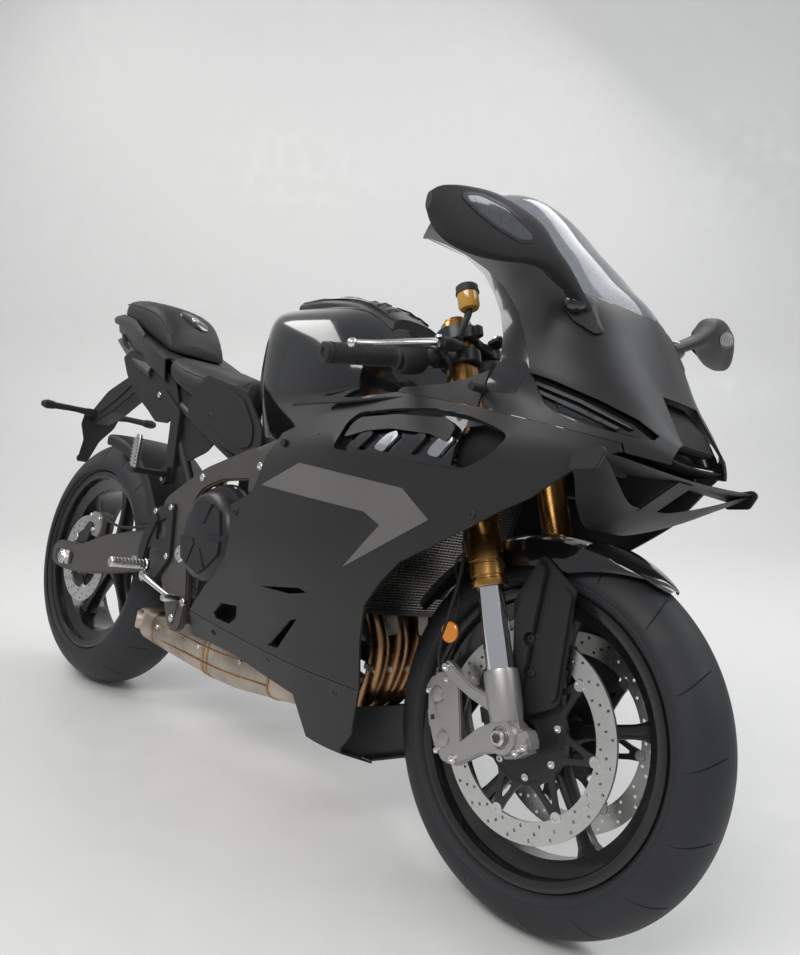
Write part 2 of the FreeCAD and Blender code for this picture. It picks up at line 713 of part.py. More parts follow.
def make_frame():
    """Twin spar frame: head tube, spars, pivot plates and cross tubes."""
    inner, outer = size("frame_inner_y"), size("frame_outer_y")
    back = -fork_offset
    head_low, head_top = size("clamp_low") + size("clamp_wall") + 4, size("clamp_top") - 4
    head = rod((back, 0, head_low), (back, 0, head_top), 34)
    head = head.cut(rod((back, 0, head_low - 1), (back, 0, head_top + 1), 15))
    head.Placement = FORK
    head_mid = FORK.multVec(Vector(back, 0, (head_low + head_top) / 2))
    pieces = [head]
    pivot_outline = [
        (440, 522), (574, 605), (740, 668), (790, 650), (790, 606), (650, 588), (582, 560), (545, 500),
        (545, 452), (575, 410), (600, 330), (590, 256), (545, 256), (500, 330), (462, 390),
    ]
    # x, near y, far y, low z, high z
    spar_sections = [
        (740, inner - 26, outer, 570, 668),
        (940, inner - 20, outer + 4, 640, 740),
        (head_mid.x - 30, 22, 62, head_mid.z - 66, head_mid.z + 14),
    ]
    for _, s in SIDES:
        plate = side_prism(pivot_outline, s, inner, outer)
        wires = [
            polygon([
                Vector(x, s * near, low), Vector(x, s * far, low), Vector(x, s * far, high), Vector(x, s * near, high),
            ])
            for x, near, far, low, high in spar_sections
        ]
        pieces += [plate, Part.makeLoft(wires, True, True)]
    pieces.append(block((head_mid.x - 60, head_mid.x - 20), (-62, 62), (head_mid.z - 60, head_mid.z + 14)))
    pieces.append(across(522, 550, -inner - 4, inner + 4, 13))
    pieces.append(block((712, 756), (-132, 132), (655, TANK_FLOOR - size("seat_clear"))))
    reach = inner_body(LOWER_BODY, size("panel_wall") + size("seat_clear"), "top", False)

    def spar_at(x):
        """Near y, far y, low z and high z of the spar's forward half at x."""
        start, end = spar_sections[1:]
        t = min(1, max(0, (x - start[0]) / (end[0] - start[0])))
        return [a + t * (b - a) for a, b in zip(start[1:], end[1:])]

    for _, s in SIDES:
        near, far, low, high = spar_at(FX - 371)
        middle = (near + far) / 2
        hanger = [
            (FX - 390, low + 12), (FX - 371, low + 30), (FX - 352, low + 20), (FX - 300, 686), (FX - 300, 664.9),
            (FX - 312, 667.6), (FX - 340, 690),
        ]
        pieces.append(side_prism(hanger, s, middle - 8, middle + 8))
        stay_x = FX - 520
        near, far, low, high = spar_at(stay_x)
        pieces.append(rod((stay_x, s * (near + far) / 2, low + 40), (stay_x, s * 260, low + 40), 7).common(reach))
    pivot, _, axis = stand_axis()
    pieces.append(rod(pivot - axis * 34, pivot - axis * 7.3, 14))
    pieces.append(rod(pivot - axis * 30, pivot + axis * 12, 6))
    pieces.append(rod(pivot + axis * 7.3, pivot + axis * 12, 11))
    shape = fused(pieces)
    bore_low, bore_high = FORK.multVec(Vector(back, 0, head_low - 30)), FORK.multVec(Vector(back, 0, head_top + 30))
    shape = shape.cut(rod(bore_low, bore_high, 15))
    shape = shape.cut(across(size("pivot_x"), size("pivot_z"), -200, 200, 10.3))
    shape_node("frame", shape)


make_frame()


def make_engine():
    """Engine as one plain block, with the gearbox narrower on the chain side."""
    main = block((700, 985), (-140, 140), (305, 560))
    head = block((770, 960), (-92, 92), (555, 670))
    gearbox = block((590, 705), (-140, 84), (310, 520))
    shaft = across(size("sprocket_front_x"), size("sprocket_front_z"), 80, size("chain_y") + 8, 12)
    chain_y = size("chain_y")
    drive = across(
        size("sprocket_front_x"), size("sprocket_front_z"), chain_y - 4, chain_y + 4, size("sprocket_front_r"),
    )
    reach = size("frame_inner_y") - size("seat_clear")
    mounts = [across(628, 500, -80, reach, 12), across(592, 322, -reach, reach, 10)]
    shape_node("engine_block", fused([main, head, gearbox, shaft, drive] + mounts))


make_engine()


def make_engine_covers():
    """Round side covers: clutch on the right, generator on the left."""
    clutch = [(664, 480, -140.3, -168, 98), (664, 480, -167, -186, 84)]
    shapes = [across(x, z, far, near, r) for x, z, near, far, r in clutch]
    generator = [across(790, 430, 140.3, 158, 70), across(790, 430, 157, 166, 54)]
    shape_node("engine_covers", Part.makeCompound([fused(shapes), fused(generator)]))


make_engine_covers()


def make_swingarm():
    """Two beams, the bridge before the tyre and the pivot tube."""
    near, far = size("arm_inner_y"), size("arm_outer_y")
    px, pz = size("pivot_x"), size("pivot_z")
    beam = [
        (-78, 292), (-84, 330), (-60, 350), (120, 372), (330, 402), (px - 50, pz + 16), (px, pz + 22),
        (px + 18, pz), (px, pz - 26), (px - 60, pz - 34), (330, 338), (120, 296), (-20, 286),
    ]
    inner_beam = [
        (130, 368), (330, 400), (px - 50, pz + 12), (px - 4, pz + 12), (px - 4, pz - 24), (px - 60, pz - 32),
        (330, 342), (130, 302),
    ]
    pieces = []
    for _, s in SIDES:
        pieces.append(side_prism(beam, s, near, far))
        pieces.append(side_prism(inner_beam, s, 98, near + 1))
        bearing = [(px - 60, pz + 8), (px, pz + 8), (px, pz - 20), (px - 60, pz - 26)]
        pieces.append(side_prism(bearing, s, 60, 99))
    pieces.append(prism([(340, 350), (340, 398), (400, 404), (410, 362)], -100, 100))
    pieces.append(across(px, pz, -far, 92, 26))
    shape = fused(pieces)
    shape = shape.cut(across(px, pz, -200, 200, 10.3))
    shape = shape.cut(across(0, RZ, -200, 200, size("axle_rear_r") + size("seat_clear")))
    shape_node("swingarm", shape)


make_swingarm()


def loop_wire(radius_rear, radius_front, y):
    """A belt line round both sprockets."""
    ax, az = 0, RZ
    bx, bz = size("sprocket_front_x"), size("sprocket_front_z")
    distance = math.hypot(bx - ax, bz - az)
    slope = math.atan2(bz - az, bx - ax)
    lift = math.asin((radius_rear - radius_front) / distance)
    top = slope + math.pi / 2 - lift
    bottom = slope - math.pi / 2 + lift

    def on(cx, cz, radius, angle):
        return Vector(cx + radius * math.cos(angle), y, cz + radius * math.sin(angle))

    a_top, a_low = on(ax, az, radius_rear, top), on(ax, az, radius_rear, bottom)
    b_top, b_low = on(bx, bz, radius_front, top), on(bx, bz, radius_front, bottom)
    rear_mid = on(ax, az, radius_rear, slope + math.pi)
    front_mid = on(bx, bz, radius_front, slope)
    return Part.Wire([
        Part.LineSegment(a_top, b_top).toShape(),
        Part.Arc(b_top, front_mid, b_low).toShape(),
        Part.LineSegment(b_low, a_low).toShape(),
        Part.Arc(a_low, rear_mid, a_top).toShape(),
    ])


def make_chain():
    """The chain as one closed loop round both sprockets."""
    clear = size("running_clear")
    height = 14
    y = size("chain_y") - size("chain_width") / 2
    rear, front = size("sprocket_rear_r") + clear, size("sprocket_front_r") + size("seat_clear")
    outer = Part.Face(loop_wire(rear + height, front + height, y))
    inner = Part.Face(loop_wire(rear, front, y))
    shape_node("chain", outer.cut(inner).extrude(Vector(0, size("chain_width"), 0)))


make_chain()


def make_rear_caliper():
    """Rear caliper on its bracket above the axle."""
    y = -size("disc_rear_y")
    slot = size("disc_wall") / 2 + size("running_clear")
    body = block((28, 96), (y - 22, y + 14), (RZ + 66, RZ + 126))
    gap = block((20, 110), (y - slot, y + slot), (RZ + 40, RZ + 116))
    outline = [(-26, RZ - 10), (-26, RZ + 26), (34, RZ + 100), (60, RZ + 96), (26, RZ - 10)]
    bracket = side_prism(outline, RIGHT, -y + 12, -y + 25.7)
    shape = fused([body.cut(gap), bracket])
    shape = shape.cut(across(0, RZ, -200, 200, size("axle_rear_r") + size("seat_clear")))
    shape_node("rear_caliper", shape)


make_rear_caliper()


# Body panels

SEAM = size("seam_clear")
# the crease where the cowl meets the side panels
CREASE = [(-300, 784), (-258, 789), (-161, 781), (-74, 774), (-3, 766), (53, 760), (99, 755), (124, 752)]
SIDE_PANEL = seen([
    (-805, 311), (-786, 336), (-714, 401), (-667, 443), (-654, 480), (-668, 547), (-640, 560), (-597, 580),
    (-557, 699), (-509, 717), (-393, 763),
] + CREASE + [
    (128, 740), (106, 728), (65, 688), (32, 655), (-9, 628), (-46, 603), (-122, 556), (-179, 524), (-218, 484),
    (-252, 440), (-262, 379), (-264, 296), (-411, 295), (-604, 301),
])
BELLY_PANEL = seen([
    (-805, 262), (-805, 311 - SEAM), (-604, 301 - SEAM), (-411, 295 - SEAM), (-264, 296 - SEAM), (-291, 215),
    (-320, 180), (-320, 145), (-400, 145), (-440, 240), (-640, 262),
])
RECESS = seen([
    (-363, 681), (-359, 705), (-356, 732), (-334, 750), (-238, 762), (-151, 767), (-86, 761), (-34, 749),
    (-6, 738), (-20, 715), (-46, 694), (-77, 678), (-157, 678), (-244, 681),
])
SLOTS = [
    seen([(-532, 415), (-413, 435), (-392, 431), (-442, 419)]),
    seen([(-705, 329), (-674, 354), (-616, 360), (-619, 336), (-645, 319), (-696, 319)]),
    seen([(-420, 379), (-441, 373), (-509, 311), (-477, 314)]),
]
SIDE_WING = seen([
    (-258, 789 + SEAM), (-161, 781 + SEAM), (-74, 774 + SEAM), (-74, 832), (-110, 818), (-160, 806), (-250, 798),
])
HEADLAMP_SLIT = seen([
    (-17, 836), (17, 829), (82, 809), (127, 791), (152, 773), (150, 766), (138, 763), (108, 766), (68, 772),
    (43, 780), (24, 791),
])
NOSE_INTAKE = [(-64, 764), (64, 764), (52, 836), (-52, 836)]
COWL_BACK = seen([
    (-72, 700), (-72, 852), (-81, 890), (-100, 926), (-128, 959), (-167, 995), (-227, 1032), (-336, 1073),
    (-380, 1078), (-380, 700),
])
SCREEN_EDGE = seen([
    (-345, 1116), (-107, 1021), (-75, 1008), (-23, 971), (9, 972), (47, 963), (70, 990), (70, 1220), (-345, 1220),
])


def make_side_panel(s, lower):
    """A side panel with its slots and the stepped recess at its top."""
    deep = size("recess_depth")
    wall = size("panel_wall")
    panel = lower.common(side_prism(SIDE_PANEL, s, 60, 300))
    for hole in SLOTS:
        panel = panel.cut(side_prism(hole, s, 90, 320))
    near, far = sorted((s * 120, s * 300))
    zone = grown_prism(RECESS, wall, near, far)
    opening = grown_prism(RECESS, 0.01, near, far)
    skin = hull(LOWER_BODY)
    floor_top = inner_body(LOWER_BODY, deep, "top", False)
    floor_bottom = inner_body(LOWER_BODY, deep + wall, "top", False)
    rim = skin.common(zone).cut(floor_bottom).cut(opening)
    floor = floor_top.common(zone).cut(floor_bottom)
    return fused([panel.cut(opening), rim, floor])


def make_panels():
    """Side panels, belly pan, nose cowl and screen cut from two body shells."""
    wall = size("panel_wall")
    lower = shell(LOWER_BODY, wall, "top")
    for name, s in SIDES:
        shape_node("fairing_" + name, make_side_panel(s, lower))
    wings = [lower.common(side_prism(SIDE_WING, s, 100, 300)) for _, s in SIDES]
    shape_node("side_wings", Part.makeCompound(wings))
    # the belly pan straddles the silencer box behind its keel
    tunnel = block((FX - 900, FX - 440), (-142, 142), (100, 400))
    shape_node("belly_pan", lower.common(prism(BELLY_PANEL, -300, 300)).cut(tunnel))
    upper = shell(UPPER_BODY, wall, "bottom", True)
    cowl = upper.cut(prism(SCREEN_EDGE + [(FX - 380, 1220), (FX - 380, 1130)], -300, 300))
    intake = Part.Face(polygon([Vector(FX + 60, y, z) for y, z in NOSE_INTAKE])).extrude(Vector(200, 0, 0))
    cowl = cowl.cut(intake)
    for _, s in SIDES:
        cowl = cowl.cut(side_prism(HEADLAMP_SLIT, s, 60, 320))
    below = [(ahead, z + SEAM) for ahead, z in CREASE[2:]] + [(130, 738), (130, 690), (-380, 690), (-380, 782)]
    cowl = cowl.cut(prism(seen(below), -320, 320))
    cowl = cowl.cut(prism(COWL_BACK, -320, 320))
    shape_node("nose_cowl", cowl)
    glass = shell(UPPER_BODY, size("screen_wall"), "bottom", True)
    shape_node("windscreen", glass.common(grown_prism(SCREEN_EDGE, -SEAM, -300, 300)))


make_panels()


def make_headlamps():
    """Lamp units behind the slits in the cowl."""
    behind = size("panel_wall") + size("seat_clear")
    inside = inner_body(UPPER_BODY, behind, "bottom", True)
    core = inner_body(UPPER_BODY, behind + 22, "bottom", True)
    lamps = []
    for _, s in SIDES:
        near, far = sorted((s * 60, s * 300))
        lamps.append(inside.cut(core).common(grown_prism(HEADLAMP_SLIT, 6, near, far)))
    shape_node("headlamps", Part.makeCompound(lamps))


make_headlamps()


def make_winglets():
    """Looped wings: an upper blade under the nose and a lower blade back to the chin."""
    tip_y, gap = 228, size("panel_wall")
    # y, leading x, leading z, trailing x, trailing z
    upper = [(0, 168, 712, 84, 722), (120, 166, 714, 90, 722), (tip_y, 150, 722, 116, 714)]
    lower = [(0, 92, 638, 40, 624), (60, 92, 640, 44, 626), (tip_y, 148, 714, 116, 706)]
    halves = []
    for rows in (upper, lower):
        for _, s in SIDES:
            wires = [
                polygon([
                    Vector(FX + lead, s * y, lead_z), Vector(FX + trail, s * y, trail_z),
                    Vector(FX + trail, s * y, trail_z + gap), Vector(FX + lead, s * y, lead_z + 2 * gap),
                ])
                for y, lead, lead_z, trail, trail_z in rows
            ]
            halves.append(Part.makeLoft(wires, True, True))
    for _, s in SIDES:
        plate = [(110, 700), (152, 708), (158, 728), (150, 736), (112, 724)]
        halves.append(side_prism(seen(plate), s, tip_y - 1, tip_y + 6))
    keel = [(150, 716), (96, 724), (42, 626), (92, 640)]
    halves.append(prism(seen(keel), -26, 26))
    halves.append(block((FX + 100, FX + 140), (-26, 26), (715, 744)))
    shape_node("winglets", fused(halves).cut(shell(UPPER_BODY, size("panel_wall"), "bottom", True)))


make_winglets()


def make_mirrors():
    """Mirror arms and housings."""
    # y, back x and front x ahead of the front axle, low z, high z
    rows = [
        (96, -4, 26, 920, 944), (150, 0, 30, 944, 966), (200, 6, 36, 964, 992), (256, -30, 26, 978, 1030),
        (330, -66, 12, 960, 1052), (400, -72, -6, 964, 1036), (438, -52, -14, 996, 1030),
    ]
    pair = []
    for _, s in SIDES:
        wires = []
        for y, back, front, low, high in rows:
            third = (high - low) / 3
            wires.append(polygon([
                Vector(FX + back, s * y, low), Vector(FX + (back + front) / 2, s * y, low - 4),
                Vector(FX + front, s * y, low + third), Vector(FX + front, s * y, high - third),
                Vector(FX + (back + front) / 2, s * y, high + 2), Vector(FX + back, s * y, high),
            ]))
        pair.append(Part.makeLoft(wires, True, True).cut(hull(UPPER_BODY)))
    shape_node("mirrors", Part.makeCompound(pair))


make_mirrors()


def make_radiator():
    """Radiator core with its end tanks, behind the front wheel."""
    outline = seen([(-360, 424), (-324, 414), (-262, 655), (-298, 664)])
    core = prism(outline, -160, 160)
    tanks = [side_prism(outline, s, 160, 178) for _, s in SIDES]
    stays = [rod((985.3, s * 90, 436), (FX - 345, s * 90, 436), 8) for _, s in SIDES]
    shape_node("radiator", fused([core] + tanks + stays))


make_radiator()


def make_fairing_stay():
    """Bracket from the head tube to the nose cowl, between the fork legs."""
    behind = inner_body(UPPER_BODY, size("panel_wall") + size("seat_clear"), "bottom", True)
    back = -fork_offset
    head = FORK.multVec(Vector(back, 0, 560))
    cross = Vector(FX - 74, 0, 802)
    beam = rod(head, cross, 9)
    bar = rod((cross.x, -260, cross.z), (cross.x, 260, cross.z), 7)
    arms = [rod((cross.x, s * 70, cross.z), (FX - 10, s * 96, 960), 6) for _, s in SIDES]
    dash = prism(seen([(-158, 1003), (-146, 1010), (-92, 938), (-104, 931)]), -80, 80)
    risers = [rod((cross.x, s * 44, cross.z), (FX - 99, s * 44, 938), 6) for _, s in SIDES]
    arms += risers + [dash]
    hole_low, hole_high = FORK.multVec(Vector(back, 0, 400)), FORK.multVec(Vector(back, 0, 700))
    head_hole = rod(hole_low, hole_high, 34 + size("seat_clear"))
    shape_node("fairing_stay", fused([beam, bar] + arms).common(behind.fuse(beam)).cut(head_hole))


make_fairing_stay()


def make_exhaust():
    """Three headers, the collector and the silencer box under the engine."""
    pipes = []
    for y in (-62, 0, 62):
        route = [
            (960.3, y, 600), (1018, y, 600), (1024, y, 430), (1062, y * 0.8, 350), (1040, y * 0.55, 232),
            (958.3, y * 0.55, 232),
        ]
        pipes.append(mitred_tube(route, 19))
    shape_node("exhaust_headers", fused(pipes))
    # x, near y, far y, low z, high z
    rows = [
        (350, -70, -122, 214, 262), (400, 40, -130, 190, 270), (700, 80, -130, 172, 285), (900, 70, -100, 190, 275),
        (958, 60, -60, 205, 262),
    ]
    wires = [
        polygon([
            Vector(x, far, low + 14), Vector(x, far + 14, low), Vector(x, near - 10, low), Vector(x, near, low + 14),
            Vector(x, near, high), Vector(x, far, high),
        ])
        for x, near, far, low, high in rows
    ]
    shape_node("exhaust_box", Part.makeLoft(wires, True, True))


make_exhaust()


# x, then y, z of: bottom, flank, shoulder, crest, middle
TANK = [
    (572, [(50, 800), (60, 822), (60, 920), (46, 944), (0, 952)]),
    (600, [(76, 760), (80, 815), (78, 925), (56, 960), (0, 968)]),
    (680, [(100, TANK_FLOOR), (134, 806), (128, 922), (80, 966), (0, 984)]),
    (860, [(100, TANK_FLOOR), (148, 800), (138, 904), (82, 966), (0, 986)]),
    (960, [(100, 765), (132, 810), (120, 880), (70, 930), (0, 942)]),
]
TANK_COVER = [
    (650, [(40, 960), (56, 960), (54, 984), (30, 990), (0, 992)]),
    (760, [(60, 966), (74, 966), (70, 988), (40, 996), (0, 998)]),
    (870, [(60, 962), (76, 962), (70, 980), (42, 990), (0, 994)]),
    (958, [(50, 930), (64, 930), (58, 948), (36, 956), (0, 958)]),
]
RIDER_SEAT = [
    (262.4, [(84, 800), (112, 812), (114, 838), (84, 852), (0, 856)]),
    (340, [(100, 770), (126, 786), (122, 818), (86, 836), (0, 836)]),
    (440, [(100, 742), (122, 756), (116, 800), (74, 818), (0, 818)]),
    (530, [(84, 726), (110, 738), (100, 792), (54, 812), (0, 814)]),
    (571.6, [(60, 744), (84, 756), (76, 794), (44, 808), (0, 810)]),
]
PILLION_PAD = [
    (-96, [(50, 957), (66, 966), (62, 992), (40, 1004), (0, 1008)]),
    (0, [(70, 937), (88, 948), (84, 982), (56, 999), (0, 1004)]),
    (110, [(78, 898), (90, 912), (84, 958), (58, 978), (0, 984)]),
    (172, [(76, 875.7), (82, 888), (76, 914), (52, 934), (0, 940)]),
    (196, [(70, 866.9), (78, 872), (70, 882), (44, 892), (0, 896)]),
]
TAIL = [
    (-118, [(20, 900), (60, 920), (70, 960), (66, 962), (0, 958)]),
    (0, [(40, 850), (84, 880), (100, 936), (90, 938), (0, 928)]),
    (150, [(60, 800), (110, 830), (122, 880), (110, 886), (0, 878)]),
    (262, [(74, 764), (118, 790), (128, 838), (118, 844), (0, 838)]),
]


def seat_rails(grown):
    """Tubes that carry the seats, with their radius grown."""
    pieces = [across(40, 842, -56, 56, 11 + grown)]
    for _, s in SIDES:
        joint, low_joint = (655, s * 112, 617), (470, s * 100, 512)
        knee, end = (250, s * 88, 762), (40, s * 56, 842)
        for start, stop, radius in ((joint, knee, 13), (knee, end, 13), (low_joint, knee, 12)):
            pieces.append(rod(start, stop, radius + grown))
            pieces.append(Part.makeSphere(radius + grown, Vector(*start)))
    return fused(pieces)


def make_upper_body():
    cover = hull(TANK_COVER)
    tank = hull(TANK).cut(cover)
    shape_node("tank", tank)
    shape_node("tank_cover", cover)
    shape_node("rider_seat", hull(RIDER_SEAT))
    shape_node("pillion_pad", hull(PILLION_PAD))
    shape_node("tail_cowl", shell(TAIL, size("panel_wall"), "bottom").cut(seat_rails(size("seat_clear"))))


make_upper_body()


def make_knee_panels():
    """Panels between tank, seat and frame."""
    outline = [
        (440, 740), (492, 806), (560, 790), (650, 770), (728, 700), (738, 652), (640, 632), (600, 604), (520, 566),
        (480, 640),
    ]
    face = size("frame_inner_y") - size("seat_clear")
    shape_node("knee_panels", Part.makeCompound([side_prism(outline, s, face - 5, face) for _, s in SIDES]))


make_knee_panels()


PEG_HANGER = [(225, 766), (262, 768), (345, 720), (362, 560), (332, 560), (312, 700)]


def make_subframe():
    """Seat rails from the frame to the tail."""
    pieces = [seat_rails(0)]
    under = inner_body(TAIL, size("panel_wall") + size("seat_clear"), "bottom", False)
    reach = size("frame_inner_y") - size("seat_clear")
    for _, s in SIDES:
        joint, low_joint = (655, s * 112, 617), (470, s * 100, 512)
        for point, radius in ((joint, 13), (low_joint, 12)):
            pieces.append(rod(point, (point[0], s * reach, point[2]), radius))
        pieces.append(side_prism(PEG_HANGER, s, 100, 112))
        pieces.append(across(345, 572, min(s * 104, s * 205), max(s * 104, s * 205), 9))
        pieces.append(across(250, 758, min(s * 80, s * 112), max(s * 80, s * 112), 9))
        pieces.append(rod((150, s * 66, 800), (150, s * 66, 900), 7).common(under))
        pieces.append(rod((330, s * 92, 734), (330, s * 92, 770.4), 8))
    pieces.append(across(250, 762, -88, 88, 11))
    shape_node("subframe", fused(pieces))


make_subframe()


def make_plate_hanger():
    """Number plate hanger with its plate board and indicator stalks."""
    arm = prism([(-20, 842), (30, 846), (60, 820), (-150, 700), (-250, 660), (-262, 700), (-190, 760)], -24, 24)
    board = prism([(-238, 700), (-228, 704), (-322, 520), (-332, 524)], -62, 62)
    stalks = [rod((-235, s * 20, 690), (-250, s * 150, 692), 7) for _, s in SIDES]
    lamps = [Part.makeSphere(15, Vector(-252, s * 160, 692)) for _, s in SIDES]
    hanger = fused([arm, board] + stalks + lamps).cut(across(40, 842, -60, 60, 11.3))
    shape_node("plate_hanger", hanger)
    wall = size("panel_wall")
    behind = wall + size("seat_clear")
    plug = [
        (x - (2 * wall if i == 0 else 0), inset(half, behind))
        for i, (x, half) in enumerate(TAIL[:2])
    ]
    shape_node("tail_lamp", hull(plug).common(block((-124, -96), (-60, 60), (915, 1000))))


make_plate_hanger()


def make_hugger():
    """Mudguard over the front of the rear tyre."""
    inner = size("tyre_rear_r") + 10
    face = Part.Face(polygon([
        Vector(inner, -96, 0), Vector(inner, 96, 0), Vector(inner + 4, 96, 0), Vector(inner + 4, -96, 0),
    ]))
    arch = face.revolve(Vector(0, 0, 0), Vector(0, -1, 0), 72)
    arch.rotate(Vector(0, 0, 0), Vector(0, 1, 0), -12)
    tab = block((315, 340 - size("seat_clear")), (-30, 30), (388 - RZ, 398 - RZ))
    shape_node("rear_hugger", fused([arch, tab]), REAR_AXLE)


make_hugger()


def make_shock():
    """Rear shock absorber between swingarm bridge and frame."""
    start, end = Vector(445, 0, 300), Vector(522, 0, 550)
    along = (end - start).normalize()
    pieces = [
        rod(start, end - along * 16, 14),
        rod(start + along * 40, end - along * 60, 24),
        rod(start + along * 180, end - along * 30, 27),
    ]
    pieces.append(across(start.x, start.z, -16, 16, 16))
    pieces.append(rod(start, Vector(402, 0, 352), 9))
    pieces.append(rod(end - along * 30, end, 14))
    shape = fused(pieces).cut(across(522, 550, -60, 60, 13.3))
    shape_node("shock_absorber", shape.cut(prism([(340, 350), (340, 398), (400, 404), (410, 361.7)], -100, 100)))


make_shock()


def make_rearsets():
    """Foot peg brackets with peg, heel plate and pedal."""
    plate = [(430, 500), (500, 520), (520, 400), (470, 340), (420, 330), (400, 380)]
    pair = []
    for _, s in SIDES:
        bracket = side_prism(plate, s, size("frame_outer_y") + size("seat_clear"), 176)
        peg = across(430, 372, min(s * 172, s * 262), max(s * 172, s * 262), 11)
        pedal = fused([rod((440, s * 184, 350), (590, s * 184, 330), 6), rod((590, s * 180, 330), (590, s * 220, 330), 7)])
        post = rod((440, s * 172, 350), (440, s * 186, 350), 10)
        pair.append(fused([bracket, peg, pedal, post]))
    shape_node("rearsets", Part.makeCompound(pair))


make_rearsets()


def make_side_stand():
    """Leg from its pivot lug to the foot pad on the floor."""
    pivot, foot, axis = stand_axis()
    up = Vector(0, -math.sin(lean), math.cos(lean))
    pad = Part.makeCylinder(24, 7, foot, up)
    lug_r = 17
    leg = rod(pivot + (foot - pivot).normalize() * (lug_r - 2), foot + up * 5, size("stand_tube_r"))
    lug = rod(pivot - axis * 7, pivot + axis * 7, lug_r)
    bore = rod(pivot - axis * 20, pivot + axis * 20, 6.3)
    shape_node("side_stand", fused([leg, pad, lug]).cut(bore))


make_side_stand()


# Check and write

doc.recompute()
for feature in doc.Objects:
    bad = [state for state in feature.State if state in ("Invalid", "Error")]
    if bad:
        raise RuntimeError(f"{feature.Name} is {bad}")
for feature in nodes:
    shape = feature.Shape
    if shape.isNull() or not shape.isValid():
        raise RuntimeError(f"{feature.Label} has no valid shape")
    if not shape.Solids:
        raise RuntimeError(f"{feature.Label} holds no solid")

os.makedirs("parts", exist_ok=True)
for feature in nodes:
    feature.Shape.exportStep(f"parts/{feature.Label}.step")
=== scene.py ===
import bmesh
import bpy
import json
import math
import numpy as np
from mathutils import Matrix, Vector
from mathutils.geometry import delaunay_2d_cdt

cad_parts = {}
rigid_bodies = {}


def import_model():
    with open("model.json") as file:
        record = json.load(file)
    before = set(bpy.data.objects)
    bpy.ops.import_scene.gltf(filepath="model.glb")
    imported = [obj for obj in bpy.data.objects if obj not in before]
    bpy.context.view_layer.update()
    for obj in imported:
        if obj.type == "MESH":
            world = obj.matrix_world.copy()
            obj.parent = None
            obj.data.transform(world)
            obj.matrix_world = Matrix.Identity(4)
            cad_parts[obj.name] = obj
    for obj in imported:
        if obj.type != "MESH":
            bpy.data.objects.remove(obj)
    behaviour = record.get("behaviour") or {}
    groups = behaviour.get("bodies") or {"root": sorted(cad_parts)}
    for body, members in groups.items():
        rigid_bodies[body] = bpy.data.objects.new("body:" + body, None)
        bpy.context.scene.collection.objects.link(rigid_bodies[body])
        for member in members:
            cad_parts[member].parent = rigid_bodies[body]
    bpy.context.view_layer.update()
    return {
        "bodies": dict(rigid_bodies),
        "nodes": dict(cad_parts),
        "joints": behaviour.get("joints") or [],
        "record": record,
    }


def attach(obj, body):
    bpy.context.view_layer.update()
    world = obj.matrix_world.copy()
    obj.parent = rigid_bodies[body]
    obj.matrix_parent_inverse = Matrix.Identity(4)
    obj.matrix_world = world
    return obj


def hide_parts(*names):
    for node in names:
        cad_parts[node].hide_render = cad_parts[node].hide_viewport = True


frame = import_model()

# The bike's own axes, in millimetres: X forward from the rear axle, Y to the rider's left,
# Z up from the ground line

joints = {j["name"]: j for j in frame["joints"]}
rear_axle = Vector(joints["rear_wheel_spin"]["pos_m"])
bike_y = Vector(joints["rear_wheel_spin"]["axis"])
LEAN = math.atan2(-bike_y.z, bike_y.y)
RAKE = math.radians(22.6)
MM = Matrix.Scale(0.001, 4)
BIKE = Matrix.Translation(rear_axle) @ Matrix.Rotation(-LEAN, 4, "X") @ MM @ Matrix.Translation((0, 0, -315))
FX, FZ = 1420, 299.27
FORK = BIKE @ Matrix.Translation((FX, 0, FZ)) @ Matrix.Rotation(-RAKE, 4, "Y")
FRONT = BIKE @ Matrix.Translation((FX, 0, FZ))
REAR = BIKE @ Matrix.Translation((0, 0, 315))
ON_FORK = {"body": "steering", "frame": FORK}
ON_AXLE = {"body": "steering", "frame": FRONT}
SIDES = (("left", 1), ("right", -1))


# Camera

def make_camera():
    """The camera of the reference view, with its focal length and place."""
    data = bpy.data.cameras.new("camera")
    data.sensor_fit = "VERTICAL"
    data.sensor_height = 36
    data.sensor_width = 36
    data.lens = 933.086 * 36 / 955
    data.clip_start = 0.05
    camera = bpy.data.objects.new("camera", data)
    bpy.context.scene.collection.objects.link(camera)
    yaw, pitch, roll = (math.radians(a) for a in (135.716, -7.972, 1.519))
    look = Vector((math.cos(pitch) * math.cos(yaw), math.cos(pitch) * math.sin(yaw), math.sin(pitch)))
    right = look.cross(Vector((0, 0, 1))).normalized()
    up = right.cross(look)
    right, up = right * math.cos(roll) + up * math.sin(roll), up * math.cos(roll) - right * math.sin(roll)
    # the camera was placed with the rear axle above the world's origin
    axle = Vector((0, 315 * math.sin(LEAN), 2.13 + 315 * math.cos(LEAN)))
    place = (Vector((2252.63, -1094.07, 892.01)) - axle) / 1000 + rear_axle
    turn = Matrix((right, up, -look)).transposed()
    camera.matrix_world = Matrix.Translation(place) @ turn.to_4x4()
    bpy.context.scene.camera = camera


make_camera()


# Materials

def node(tree, kind, **inputs):
    made = tree.nodes.new(kind)
    for name, value in inputs.items():
        made.inputs[name.replace("_", " ")].default_value = value
    return made


